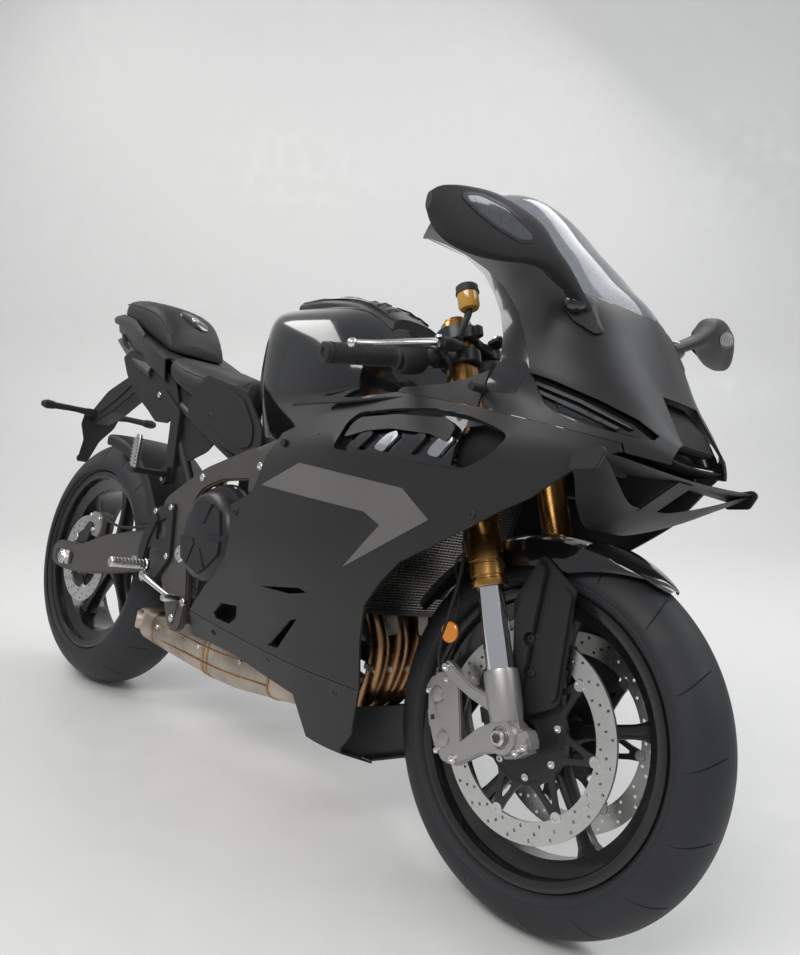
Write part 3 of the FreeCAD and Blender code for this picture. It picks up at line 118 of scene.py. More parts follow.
def surface(name, colour, rough=0.5, metal=0.0, coat=0.0, coat_rough=0.1, grain=(900, 0.05), blotch=0.08,
            tint=0.06, specular=0.5, transmission=0.0, ior=1.45, emission=None, alpha=1.0, stretch=(1, 1, 1)):
    """Paint, metal, rubber or glass with fine grain and faint wear in its gloss and colour."""
    material = bpy.data.materials.new(name)
    material.use_nodes = True
    tree = material.node_tree
    shader = tree.nodes["Principled BSDF"]
    shader.inputs["Metallic"].default_value = metal
    shader.inputs["Coat Weight"].default_value = coat
    shader.inputs["Coat Roughness"].default_value = coat_rough
    shader.inputs["Specular IOR Level"].default_value = specular
    shader.inputs["Transmission Weight"].default_value = transmission
    shader.inputs["IOR"].default_value = ior
    shader.inputs["Alpha"].default_value = alpha
    if emission:
        shader.inputs["Emission Color"].default_value = (*emission[0], 1)
        shader.inputs["Emission Strength"].default_value = emission[1]
    place = tree.nodes.new("ShaderNodeTexCoord")
    scale = node(tree, "ShaderNodeMapping", Scale=stretch)
    tree.links.new(place.outputs["Object"], scale.inputs["Vector"])
    broad = node(tree, "ShaderNodeTexNoise", Scale=14, Detail=4)
    fine = node(tree, "ShaderNodeTexNoise", Scale=grain[0], Detail=3)
    for texture in (broad, fine):
        tree.links.new(scale.outputs["Vector"], texture.inputs["Vector"])
    gloss = node(tree, "ShaderNodeMapRange")
    gloss.inputs["From Min"].default_value = 0.3
    gloss.inputs["From Max"].default_value = 0.7
    gloss.inputs["To Min"].default_value = max(0.0, rough - blotch)
    gloss.inputs["To Max"].default_value = min(1.0, rough + blotch)
    tree.links.new(broad.outputs["Fac"], gloss.inputs["Value"])
    tree.links.new(gloss.outputs["Result"], shader.inputs["Roughness"])
    shade = tree.nodes.new("ShaderNodeMix")
    shade.data_type = "RGBA"
    shade.inputs["A"].default_value = (*(c * (1 - tint) for c in colour), 1)
    shade.inputs["B"].default_value = (*(min(1, c * (1 + tint) + tint * 0.01) for c in colour), 1)
    tree.links.new(broad.outputs["Fac"], shade.inputs["Factor"])
    tree.links.new(shade.outputs["Result"], shader.inputs["Base Color"])
    bump = node(tree, "ShaderNodeBump", Strength=grain[1], Distance=0.0006)
    tree.links.new(fine.outputs["Fac"], bump.inputs["Height"])
    tree.links.new(bump.outputs["Normal"], shader.inputs["Normal"])
    return material


M = {
    "matte": surface("matte_paint", (0.018, 0.018, 0.019), 0.40, grain=(1400, 0.06), blotch=0.04),
    "gloss": surface("gloss_paint", (0.008, 0.008, 0.009), 0.16, coat=1.0, coat_rough=0.03, grain=(700, 0.02),
                     blotch=0.03),
    "satin": surface("satin_black", (0.022, 0.022, 0.024), 0.34, grain=(1200, 0.12)),
    "moulded": surface("moulded_plastic", (0.018, 0.018, 0.019), 0.55, grain=(900, 0.3)),
    "tyre": surface("tyre_rubber", (0.022, 0.023, 0.026), 0.60, grain=(500, 0.35), tint=0.15),
    "rubber": surface("grip_rubber", (0.018, 0.018, 0.018), 0.62, grain=(700, 0.4)),
    "frame": surface("frame_grey", (0.115, 0.108, 0.100), 0.40, metal=0.5, grain=(800, 0.25)),
    "engine": surface("engine_coat", (0.035, 0.035, 0.037), 0.45, metal=0.3, grain=(600, 0.4)),
    "cast": surface("cast_grey", (0.42, 0.41, 0.40), 0.42, metal=0.75, grain=(700, 0.35)),
    "bright": surface("bright_alloy", (0.72, 0.71, 0.70), 0.26, metal=1.0, grain=(900, 0.15)),
    "disc": surface("disc_steel", (0.66, 0.65, 0.63), 0.30, metal=1.0, grain=(1300, 0.3), tint=0.1),
    "chrome": surface("chrome", (0.80, 0.81, 0.83), 0.07, metal=1.0, grain=(500, 0.02), blotch=0.03),
    "gold": surface("gold_anodised", (0.46, 0.24, 0.075), 0.27, metal=1.0, grain=(900, 0.12)),
    "bronze": surface("bronze_anodised", (0.30, 0.13, 0.05), 0.32, metal=1.0, grain=(900, 0.12)),
    "hot_steel": surface("hot_steel", (0.44, 0.38, 0.32), 0.36, metal=1.0, grain=(700, 0.3), blotch=0.16,
                         tint=1.0),
    "header": surface("header_steel", (0.42, 0.24, 0.12), 0.28, metal=1.0, grain=(700, 0.2), tint=0.35),
    "chain": surface("chain_steel", (0.30, 0.28, 0.25), 0.38, metal=1.0, grain=(700, 0.3)),
    "cover": surface("seat_vinyl", (0.020, 0.020, 0.021), 0.55, grain=(420, 0.7)),
    "lens": surface("clear_lens", (0.90, 0.92, 0.95), 0.03, transmission=1.0, grain=(300, 0.01), blotch=0.02,
                    ior=1.3),
    "screen": surface("screen_clear", (0.55, 0.57, 0.60), 0.03, transmission=1.0, grain=(300, 0.01),
                      blotch=0.02, ior=1.12),
    "red": surface("red_lens", (0.30, 0.008, 0.008), 0.2, coat=0.8, grain=(300, 0.02)),
    "amber": surface("amber_lens", (0.80, 0.26, 0.02), 0.22, coat=0.9, grain=(700, 0.2)),
    "stripe": surface("grey_stripe", (0.135, 0.13, 0.125), 0.42, grain=(1400, 0.05), blotch=0.04),
    "rim": surface("rim_black", (0.012, 0.012, 0.013), 0.26, coat=0.4, grain=(900, 0.06)),
    # near-black for dark parts, and painted shade behind the recess mouths and on the intake floor
    "dark": surface("near_black_and_painted_shade", (0.006, 0.006, 0.006), 0.75, grain=(500, 0.3)),
    "silver": surface("silver_trim", (0.62, 0.63, 0.65), 0.22, metal=1.0, grain=(900, 0.05)),
    "white": surface("lamp_white", (0.74, 0.75, 0.76), 0.18, coat=0.9, coat_rough=0.04, grain=(300, 0.05),
                     tint=0.1),
    "indicator": surface("indicator_lens", (0.07, 0.072, 0.075), 0.14, coat=1.0, coat_rough=0.03,
                         grain=(260, 0.3),
                         tint=0.35),
    "fluid": surface("brake_fluid", (0.55, 0.30, 0.04), 0.15, coat=1.0, coat_rough=0.04, grain=(200, 0.05),
                     tint=0.3),
    "inner": surface("inner_panel", (0.020, 0.021, 0.023), 0.55, specular=0.2, grain=(900, 0.06),
                     blotch=0.05),
}


# Mesh tools: parts are pairs of points and faces on the upright bike, in millimetres

def smooth_line(points, steps, crisp=()):
    """Points joined by a smooth curve, with corners at the crisp ones."""
    pts = [np.array(p, float) for p in points]
    last = len(pts) - 1
    out = []
    for i in range(last):
        a, b = pts[i], pts[i + 1]
        before = a - (b - a) if i == 0 or i in crisp else pts[i - 1]
        after = b + (b - a) if i + 1 == last or i + 1 in crisp else pts[i + 2]
        for k in range(steps):
            t = k / steps
            out.append(0.5 * (2 * a + (b - before) * t + (2 * before - 5 * a + 4 * b - after) * t ** 2
                              + (3 * a - before - 3 * b + after) * t ** 3))
    out.append(pts[last])
    return out


def table_grid(table, along, across, crisp=(), crisp_stations=(), whole=True, origin=FX):
    """Points of a body skin from rows of x and its half outline."""
    sections = []
    for x, half in table:
        outline = [(origin + x, y, z) for y, z in half]
        if whole:
            outline += [(origin + x, -y, z) for y, z in reversed(half) if y > 0]
        sections.append(outline)
    count = len(sections[0])
    corners = set(crisp) | {count - 1 - i for i in crisp} if whole else set(crisp)
    lines = [smooth_line([s[j] for s in sections], along, crisp_stations) for j in range(count)]
    return np.array([smooth_line([line[i] for line in lines], across, corners) for i in range(len(lines[0]))])


def grid_normals(grid, middle=None):
    """Outward normals of a grid, away from the middle of its sections or from a given one."""
    n = np.cross(np.gradient(grid, axis=0), np.gradient(grid, axis=1))
    n /= np.maximum(np.linalg.norm(n, axis=2, keepdims=True), 1e-9)
    if middle is None:
        middle = grid.mean(axis=1, keepdims=True) * (1, 0, 1)
    return -n if ((grid - middle) * n).sum() < 0 else n


def wall(outer, inner):
    """A closed wall between two grids of points."""
    rows, cols = outer.shape[:2]
    size = rows * cols
    faces = []
    for i in range(rows - 1):
        for j in range(cols - 1):
            a, b, c, d = i * cols + j, i * cols + j + 1, (i + 1) * cols + j + 1, (i + 1) * cols + j
            faces += [(a, b, c, d), (a + size, d + size, c + size, b + size)]
    edge = [i * cols for i in range(rows)] + [(rows - 1) * cols + j for j in range(1, cols)]
    edge += [i * cols + cols - 1 for i in range(rows - 2, -1, -1)] + [j for j in range(cols - 2, 0, -1)]
    faces += [(a, b, b + size, a + size) for a, b in zip(edge, edge[1:] + edge[:1])]
    return np.concatenate([outer.reshape(-1, 3), inner.reshape(-1, 3)]).tolist(), faces


def skin(grid, out, inside):
    """A closed wall between a skin moved out and the same skin moved in."""
    n = grid_normals(grid)
    return wall(grid + n * out, grid - n * inside)


def arch_skin(grid, thick):
    """The wall of an arch about an axle, grown inwards."""
    n = grid_normals(grid, middle=grid * (0, 1, 0))
    return wall(grid, grid - n * thick)


def closed_body(grid):
    """A solid from a grid of whole sections, with its ends closed."""
    rows, cols = grid.shape[:2]
    faces = []
    for i in range(rows - 1):
        for j in range(cols):
            k = (j + 1) % cols
            faces.append((i * cols + j, i * cols + k, (i + 1) * cols + k, (i + 1) * cols + j))
    faces.append(tuple(range(cols)))
    faces.append(tuple((rows - 1) * cols + j for j in reversed(range(cols))))
    return grid.reshape(-1, 3).tolist(), faces


def lathe(profile, steps=48, closed=False):
    """Radius and Y turned about Y; a closed profile makes a ring, an open one ends on the axis."""
    verts, rings = [], []
    for r, y in profile:
        if r < 1e-6:
            rings.append([len(verts)] * steps)
            verts.append((0, y, 0))
            continue
        rings.append([len(verts) + k for k in range(steps)])
        for k in range(steps):
            a = math.radians(360 * k / steps)
            verts.append((r * math.cos(a), y, r * math.sin(a)))
    faces = []
    pairs = list(zip(rings, rings[1:])) + ([(rings[-1], rings[0])] if closed else [])
    for low, high in pairs:
        for k in range(steps):
            n = (k + 1) % steps
            face = tuple(dict.fromkeys((low[k], low[n], high[n], high[k])))
            if len(face) > 2:
                faces.append(face)
    return verts, faces


def tube(points, radius, sides=12, steps=6, crisp=()):
    """A round bar along a smooth line."""
    line = [Vector(p) for p in smooth_line(points, steps, crisp)]
    radii = radius if isinstance(radius, list) else None
    verts, faces = [], []
    along = (line[1] - line[0]).normalized()
    side = along.orthogonal().normalized()
    for i, p in enumerate(line):
        ahead = (line[min(i + 1, len(line) - 1)] - line[max(i - 1, 0)]).normalized()
        side = (side - ahead * side.dot(ahead)).normalized()
        up = ahead.cross(side)
        r = radius
        if radii:
            at = i / (len(line) - 1) * (len(radii) - 1)
            k = min(int(at), len(radii) - 2)
            r = radii[k] + (radii[k + 1] - radii[k]) * (at - k)
        for k in range(sides):
            a = 2 * math.pi * k / sides
            verts.append(tuple(p + side * (r * math.cos(a)) + up * (r * math.sin(a))))
    for i in range(len(line) - 1):
        for k in range(sides):
            n = (k + 1) % sides
            faces.append((i * sides + k, i * sides + n, (i + 1) * sides + n, (i + 1) * sides + k))
    faces += [tuple(reversed(range(sides))), tuple((len(line) - 1) * sides + k for k in range(sides))]
    return verts, faces


def bevelled(verts, faces, width, segments=2):
    """The part with its edges rounded."""
    bm = bmesh.new()
    made = [bm.verts.new(v) for v in verts]
    for face in faces:
        bm.faces.new([made[i] for i in face])
    bmesh.ops.recalc_face_normals(bm, faces=bm.faces)
    edges = [e for e in bm.edges if len(e.link_faces) == 2 and e.calc_face_angle() > 0.35]
    bmesh.ops.bevel(bm, geom=edges, offset=width, segments=segments, affect="EDGES", clamp_overlap=True)
    bm.verts.index_update()
    out = [tuple(v.co) for v in bm.verts], [tuple(v.index for v in f.verts) for f in bm.faces]
    bm.free()
    return out


def slab(outline, y_low, y_high, bevel=0.0, segments=2):
    """An XZ outline made solid between two Y values."""
    n = len(outline)
    verts = [(x, y_low, z) for x, z in outline] + [(x, y_high, z) for x, z in outline]
    faces = [tuple(range(n)), tuple(reversed(range(n, 2 * n)))]
    faces += [(i, (i + 1) % n, (i + 1) % n + n, i + n) for i in range(n)]
    return bevelled(verts, faces, bevel, segments) if bevel else (verts, faces)


def side_slab(outline, s, near, far, bevel=0.0):
    """An XZ outline made solid on side s of the bike."""
    low, high = sorted((s * near, s * far))
    return slab(outline, low, high, bevel)


def through(outline, s):
    """A cutter that goes through one side of the bodywork."""
    return side_slab(outline, s, 60, 320)


def front_slab(outline, x_low, x_high, bevel=0.0):
    """A YZ outline made solid between two X values."""
    part = slab(outline, x_low, x_high, bevel)
    return [(y, x, z) for x, y, z in part[0]], part[1]


def flat_slab(outline, z_low, z_high, bevel=0.0):
    """An XY outline made solid between two Z values."""
    part = slab(outline, z_low, z_high, bevel)
    return [(x, z, y) for x, y, z in part[0]], part[1]


def across(outline, half, bevel=0.0):
    """An XZ outline drawn from one side of the bike to the other."""
    return loops_body([[(x, y, z) for x, z in outline] for y in (-half, half)], bevel)


def loops_body(loops, bevel=0.0):
    """A solid through closed loops with the same count of points."""
    n = len(loops[0])
    verts = [tuple(p) for loop in loops for p in loop]
    faces = [tuple(range(n)), tuple(reversed(range((len(loops) - 1) * n, len(loops) * n)))]
    for i in range(len(loops) - 1):
        faces += [(i * n + k, i * n + (k + 1) % n, (i + 1) * n + (k + 1) % n, (i + 1) * n + k)
                  for k in range(n)]
    return bevelled(verts, faces, bevel) if bevel else (verts, faces)


def rounded_loop(count, power):
    """A unit loop, square at low powers and round at one."""
    out = []
    for k in range(count):
        a = 2 * math.pi * k / count
        c, s = math.cos(a), math.sin(a)
        out.append((math.copysign(abs(c) ** power, c), math.copysign(abs(s) ** power, s)))
    return out


def ball(radius, steps=16):
    """A sphere."""
    return lathe([(radius * math.sin(a), -radius * math.cos(a)) for a in (math.pi * k / 8 for k in range(9))],
                 steps)


def bolt(radius, height):
    """A round head with its socket, standing on Y = 0."""
    return lathe([(0, height * 0.45), (radius * 0.5, height * 0.45), (radius * 0.5, height),
                  (radius * 0.86, height),
                  (radius, height * 0.8), (radius, -1), (0, -1)], 18)


def drilled(outer, holes, y_low, y_high):
    """A flat plate with holes, drawn in XZ."""
    loops = [outer] + holes
    points, edges, start = [], [], 0
    for loop in loops:
        points += [Vector(p) for p in loop]
        edges += [(start + i, start + (i + 1) % len(loop)) for i in range(len(loop))]
        start += len(loop)
    found = delaunay_2d_cdt(points, edges, [], 0, 1e-5)
    flat, triangles = found[0], found[2]

    def inside(p, loop):
        hit = False
        for (ax, ay), (bx, by) in zip(loop, loop[1:] + loop[:1]):
            if (ay > p[1]) != (by > p[1]) and p[0] < (bx - ax) * (p[1] - ay) / (by - ay) + ax:
                hit = not hit
        return hit

    size = len(flat)
    verts = [(p.x, y_low, p.y) for p in flat] + [(p.x, y_high, p.y) for p in flat]
    faces = []
    for face in triangles:
        middle = sum((flat[i] for i in face), Vector((0, 0))) / len(face)
        if inside(middle, outer) and not any(inside(middle, hole) for hole in holes):
            faces += [tuple(face), tuple(i + size for i in reversed(face))]
    borders = {}
    for face in faces:
        if max(face) < size:
            for a, b in zip(face, face[1:] + face[:1]):
                borders[frozenset((a, b))] = borders.get(frozenset((a, b)), 0) + 1
    for pair, count in borders.items():
        if count == 1:
            a, b = tuple(pair)
            faces.append((a, b, b + size, a + size))
    return verts, faces


def circle(x, z, radius, count=12, phase=0.0):
    """Points round a circle in XZ."""
    return [(x + radius * math.cos(phase + 2 * math.pi * k / count),
             z + radius * math.sin(phase + 2 * math.pi * k / count))
            for k in range(count)]


def moved(part, matrix):
    """The part moved by a matrix."""
    return [tuple(matrix @ Vector(v)) for v in part[0]], part[1]


def shifted(part, x, y, z):
    """The part moved along the axes."""
    return moved(part, Matrix.Translation((x, y, z)))


def aimed(part, point, direction):
    """The part with its Y axis along a direction, at a point."""
    turn = Vector((0, 1, 0)).rotation_difference(Vector(direction).normalized()).to_matrix().to_4x4()
    return moved(part, Matrix.Translation(point) @ turn)


def turned(part, degrees):
    """The part turned about Y."""
    return moved(part, Matrix.Rotation(math.radians(degrees), 4, "Y"))


def flipped(part):
    """The part on the other side of the bike."""
    return [(x, -y, z) for x, y, z in part[0]], part[1]


def sided(part, s):
    """A part drawn on the left, or its mirror image on the right."""
    return part if s > 0 else flipped(part)


def set_on(part, s, x, y, z):
    """A part drawn along Y, standing out of a face on side s of the bike."""
    return [(px + x, s * (py + y), pz + z) for px, py, pz in part[0]], part[1]


def upright(part, x, y, z):
    """A part turned about Y, stood up along Z."""
    return [(px + x, pz + y, py + z) for px, py, pz in part[0]], part[1]


def raw(name, *parts):
    """One object from parts, still in millimetres on the upright bike."""
    verts, faces = [], []
    for part in parts:
        start = len(verts)
        verts += part[0]
        faces += [tuple(i + start for i in face) for face in part[1]]
    mesh = bpy.data.meshes.new(name)
    mesh.from_pydata([tuple(v) for v in verts], [], faces)
    bm = bmesh.new()
    bm.from_mesh(mesh)
    bmesh.ops.recalc_face_normals(bm, faces=bm.faces)
    bm.to_mesh(mesh)
    bm.free()
    obj = bpy.data.objects.new(name, mesh)
    bpy.context.scene.collection.objects.link(obj)
    return obj


def carve(obj, *cutters, operation="DIFFERENCE"):
    """Cut or keep by closed parts, exactly."""
    for i, part in enumerate(cutters):
        cutter = raw(f"{obj.name}_cutter_{i}", part)
        change = obj.modifiers.new("cut", "BOOLEAN")
        change.operation = operation
        change.solver = "EXACT"
        change.object = cutter
        with bpy.context.temp_override(object=obj, active_object=obj):
            bpy.ops.object.modifier_apply(modifier=change.name)
        bpy.data.objects.remove(cutter)
    return obj


def keep(obj, cutter):
    """Only what lies inside a closed part stays."""
    return carve(obj, cutter, operation="INTERSECT")


def settle(obj, look, body="chassis", frame=BIKE, nodes=(), angle=32):
    """Bring an object into the world, give it its look and let it ride."""
    mesh = obj.data
    mesh.transform(frame)
    mesh.materials.clear()
    mesh.materials.append(M[look])
    for face in mesh.polygons:
        face.use_smooth = True
        face.material_index = 0
    mesh.set_sharp_from_angle(angle=math.radians(angle))
    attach(obj, body)
    if nodes:
        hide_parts(*nodes)
    return obj


def piece(name, look, *parts, body="chassis", frame=BIKE, nodes=(), angle=32):
    """One finished object from parts."""
    return settle(raw(name, *parts), look, body, frame, nodes, angle)


def cut_skin(name, look, part, outline, s, *holes, nodes=()):
    """What an outline seen from side s keeps of a skin, less the holes in it."""
    obj = keep(raw(name, part), through(outline, s))
    carve(obj, *[through(hole, s) for hole in holes])
    return settle(obj, look, nodes=nodes)


def ahead(points):
    """Places measured from the front axle, as bike X and Z."""
    return [(FX + x, z) for x, z in points]


def widened(outline, margin):
    """An XZ outline moved outwards by a margin."""
    area = sum(a[0] * b[1] - b[0] * a[1] for a, b in zip(outline, outline[1:] + outline[:1]))
    sign = 1 if area > 0 else -1
    out = []
    for i, p in enumerate(outline):
        a, b = outline[i - 1], outline[(i + 1) % len(outline)]
        u = Vector((p[0] - a[0], p[1] - a[1])).normalized()
        v = Vector((b[0] - p[0], b[1] - p[1])).normalized()
        n = Vector((u.y + v.y, -u.x - v.x))
        n = n.normalized() if n.length > 1e-6 else Vector((u.y, -u.x))
        spread = max(0.45, n.dot(Vector((u.y, -u.x))))
        out.append((p[0] + sign * n.x * margin / spread, p[1] + sign * n.y * margin / spread))
    return out


def round_outline(outline, radius=6.0, steps=3, crisp=()):
    """An outline with its corners rounded."""
    out = []
    n = len(outline)
    for i, p in enumerate(outline):
        if i in crisp:
            out.append(p)
            continue
        p = Vector(p)
        a, b = Vector(outline[i - 1]), Vector(outline[(i + 1) % n])
        r = min(radius, (a - p).length * 0.45, (b - p).length * 0.45)
        start, end = p + (a - p).normalized() * r, p + (b - p).normalized() * r
        for k in range(steps + 1):
            t = k / steps
            q = start * (1 - t) ** 2 + p * 2 * t * (1 - t) + end * t ** 2
            out.append((q.x, q.y))
    return out


# Body panels, cut from two smooth skins

LOWER = [
    (-850, [(90, 262), (150, 275), (160, 305), (182, 450), (186, 590), (140, 690)]),
    (-620, [(70, 215), (150, 232), (176, 300), (212, 480), (212, 640), (160, 770)]),
    (-420, [(60, 150), (140, 172), (184, 300), (228, 500), (238, 680), (180, 815)]),
    (-230, [(50, 150), (130, 176), (172, 290), (222, 500), (245, 700), (205, 845)]),
    (-70, [(40, 160), (120, 200), (160, 290), (212, 520), (242, 712), (212, 850)]),
    (30, [(30, 180), (100, 220), (140, 320), (190, 560), (216, 722), (196, 840)]),
    (122, [(20, 300), (60, 360), (100, 450), (136, 620), (156, 716), (146, 800)]),
    (173, [(10, 400), (30, 470), (50, 550), (70, 680), (88, 716), (80, 780)]),
]
UPPER = [
    (-345, [(205, 800), (200, 840), (188, 870), (160, 980), (132, 1100), (70, 1165), (0, 1185)]),
    (-205, [(215, 795), (210, 830), (196, 860), (165, 980), (118, 1105), (62, 1160), (0, 1173)]),
    (-90, [(222, 785), (216, 822), (200, 850), (178, 940), (142, 1013), (72, 1070), (0, 1085)]),
    (-20, [(220, 765), (212, 805), (192, 840), (176, 900), (148, 965), (70, 1012), (0, 1026)]),
    (44, [(200, 752), (190, 785), (170, 822), (148, 870), (112, 925), (50, 958), (0, 970)]),
    (116, [(150, 742), (142, 768), (124, 798), (100, 822), (57, 842), (28, 846), (0, 848)]),
    (173, [(86, 736), (82, 748), (71, 763), (60, 768), (40, 772), (20, 774), (0, 775)]),
]
CREASE = [(-300, 784), (-258, 789), (-161, 781), (-74, 774), (-3, 766), (53, 760), (99, 755), (124, 752)]
SIDE_PANEL = ahead([
    (-805, 311), (-786, 336), (-714, 401), (-667, 443), (-654, 480), (-668, 547), (-640, 560), (-597, 580),
    (-557, 699), (-509, 717), (-393, 763),
] + CREASE + [
    (128, 740), (106, 728), (65, 688), (32, 655), (-9, 628), (-46, 603), (-122, 556), (-179, 524), (-218, 484),
    (-252, 440), (-262, 379), (-264, 296), (-411, 295), (-604, 301),
])
BELLY = ahead([
    (-805, 262), (-805, 310), (-604, 300), (-411, 294), (-264, 295), (-291, 215), (-320, 180), (-320, 145),
    (-400, 145), (-440, 240), (-640, 262),
])
RECESS = ahead([
    (-363, 681), (-359, 705), (-356, 732), (-334, 750), (-238, 762), (-151, 767), (-86, 761), (-34, 749),
    (-6, 738), (-20, 715), (-46, 694), (-77, 678), (-157, 678), (-244, 681),
])
VENTS = [
    ahead([(-532, 415), (-413, 435), (-392, 431), (-442, 419)]),
    ahead([(-705, 329), (-674, 354), (-616, 360), (-619, 336), (-645, 319), (-696, 319)]),
    ahead([(-420, 379), (-441, 373), (-509, 311), (-477, 314)]),
]
WING = ahead([(-258, 790), (-161, 782), (-74, 775), (-74, 832), (-110, 818), (-160, 806), (-250, 798)])
SLIT = ahead([
    (-17, 836), (17, 829), (82, 809), (127, 791), (152, 773), (150, 766), (138, 763), (108, 766), (68, 772),
    (43, 780), (24, 791),
])
INTAKE = [(-64, 764), (64, 764), (52, 836), (-52, 836)]
BACK = ahead([
    (-72, 700), (-72, 852), (-81, 890), (-100, 926), (-128, 959), (-167, 995), (-227, 1032), (-336, 1073),
    (-380, 1078), (-380, 700),
])
SCREEN = ahead([
    (-345, 1116), (-107, 1021), (-75, 1008), (-23, 971), (9, 972), (47, 963), (70, 990), (70, 1220),
    (-345, 1220),
])
STRIPE = ahead([(-569, 597), (-452, 649), (-187, 637), (-127, 597), (-304, 492), (-228, 573), (-266, 589)])
lower_grid = table_grid(LOWER, 6, 5, crisp=(1, 2, 4), whole=False)
upper_grid = table_grid(UPPER, 7, 5, crisp=(2,))


MOUTH = ahead([(-106, 684), (-96, 742), (-60, 750), (-10, 738), (-24, 714), (-50, 694), (-80, 682)])
RECESS_PLATE = ahead([
    (-352, 704), (-346, 730), (-330, 742), (-240, 752), (-130, 754), (-104, 742), (-112, 716), (-150, 726),
    (-240, 728), (-300, 720),
])
# back X and low Z of the recess vanes, and the outline of one
VANE_PLACES = [(-330, 690), (-268, 692), (-206, 694), (-150, 695)]
VANE = [(0, 0), (18, 26), (40, 34), (48, 26), (24, -4)]


def lower_skin(s, out, inside):
    """The lower skin on side s, grown outwards and inwards."""
    return sided(skin(lower_grid, out, inside), s)


def make_lower_panels():
    """Side panels with their recess, slots and stripe, wings along the screen, and the belly pan."""
    for name, s in SIDES:
        side = keep(raw(f"side_panel_{name}", lower_skin(s, 0, 4)), side_slab(SIDE_PANEL, s, 5, 320))
        carve(side, through(round_outline(RECESS, 14), s), *[through(vent, s) for vent in VENTS])
        settle(side, "matte", nodes=["fairing_" + name])
        # the recess: a rim down to a gloss floor, a near-black sheet behind the mouth at its front as painted
        # shade, and bright vanes
        outer, inner = round_outline(widened(RECESS, 3), 14), round_outline(widened(RECESS, -0.5), 14)
        cut_skin(f"recess_rim_{name}", "gloss", lower_skin(s, -0.3, 19), outer, s, inner)
        cut_skin(f"recess_floor_{name}", "gloss", lower_skin(s, -14, 18), widened(RECESS, 2), s, MOUTH)
        # a near-black sheet behind the hole in the floor: painted shade inside the mouth
        cut_skin(f"recess_mouth_{name}", "dark", lower_skin(s, -34, 36), widened(MOUTH, 8), s)
        for i, (back, low) in enumerate(VANE_PLACES):
            vane = round_outline(ahead([(back + x, low + z) for x, z in VANE]), 8)
            cut_skin(f"recess_vane_{name}_{-back}", "silver" if i % 2 else "gloss", lower_skin(s, -6, 12),
                     vane, s)
        cut_skin(f"recess_plate_{name}", "matte", lower_skin(s, -4, 8), round_outline(RECESS_PLATE, 8), s)
        cut_skin(f"side_stripe_{name}", "stripe", lower_skin(s, 0.45, 0.2), STRIPE, s)
        cut_skin(f"side_wing_{name}", "moulded", lower_skin(s, 0, 4), WING, s, nodes=["side_wings"])
    pan = raw("belly_pan_shell", lower_skin(1, 0, 4), lower_skin(-1, 0, 4))
    keep(pan, slab(BELLY, -300, 300))
    keel_rows = [(FX + x, half[0]) for x, half in LOWER[:5]]
    strip = [[(x, y + 1, z), (x, -y - 1, z), (x, -y - 1, z + 4), (x, y + 1, z + 4)]
             for x, (y, z) in keel_rows[1:]]
    keel = raw("belly_keel", loops_body(strip))
    keep(keel, slab(BELLY, -300, 300))
    tunnel = slab([(FX - 900, 90), (FX - 440, 90), (FX - 440, 400), (FX - 900, 400)], -142, 142)
    carve(pan, tunnel)
    carve(keel, tunnel)
    settle(pan, "matte", nodes=["belly_pan"])
    settle(keel, "matte")


make_lower_panels()


# the cowl's rear seam, first down its front edge, then up its back edge
TRIM = [
    (-336, 1075), (-282, 1057), (-227, 1035), (-169, 1006), (-115, 972), (-72, 932), (-47, 895), (-30, 866),
    (-18, 838), (-20, 800), (-72, 800), (-72, 852), (-81, 890), (-100, 926), (-128, 959), (-167, 995),
    (-227, 1032),
]
LAMP_BLADES = [
    ("indicator", [(-4, 824), (60, 806), (120, 780), (124, 776), (60, 801), (-2, 819)]),
    ("indicator", [(4, 812), (60, 795), (112, 775), (110, 771), (60, 789), (8, 806)]),
    ("lens", [(30, 800), (80, 788), (128, 768), (120, 768), (78, 776), (40, 786)]),
]


def make_upper_panels():
    """Nose cowl with its lamp slits and intake, the screen, and what shows inside them."""
    cowl = raw("cowl", skin(upper_grid, 0, 4))
    carve(cowl, slab(SCREEN + [(FX - 380, 1220), (FX - 380, 1130)], -300, 300))
    carve(cowl, front_slab(INTAKE, FX + 60, FX + 260), through(SLIT, 1), through(SLIT, -1))
    below = ahead([(x, z + 1) for x, z in CREASE[2:]] + [(130, 738), (130, 690), (-380, 690), (-380, 782)])
    carve(cowl, slab(below, -320, 320), slab(BACK, -320, 320))
    settle(cowl, "matte", nodes=["nose_cowl"])
    # a gloss inner trim shows behind the cowl's dark rear seam
    for name, s in SIDES:
        trim = raw(f"cowl_trim_{name}", skin(upper_grid, 0.6, 0.4))
        settle(keep(trim, side_slab(ahead(TRIM), s, 30, 320)), "gloss")
        lamp_bed = widened(SLIT, 7)
        cut_skin(f"lamp_bed_{name}", "gloss", skin(upper_grid, -9, 12), lamp_bed, s, nodes=["headlamps"])
        for i, (look, outline) in enumerate(LAMP_BLADES):
            cut_skin(f"lamp_blade_{name}_{i}", look, skin(upper_grid, -4, 8), ahead(outline), s)
    glass = raw("screen_glass", skin(upper_grid, 0, 3))
    keep(glass, slab(widened(SCREEN, -0.8), -300, 300))
    settle(glass, "screen", nodes=["windscreen"])
    # the intake's floor is near-black: painted shade inside the intake
    mouth = ahead([(96, 836), (140, 800), (160, 768), (150, 762), (60, 770), (40, 830)])
    piece("intake_floor_painted_shade", "dark", slab(mouth, -58, 58, 2))
    bar = [(150, -44, 770), (140, -30, 792), (134, 0, 800), (140, 30, 792), (150, 44, 770)]
    piece("intake_bar", "silver", tube([(FX + x, y, z) for x, y, z in bar], 2, 8))


make_upper_panels()


# Wheels, about their own axles

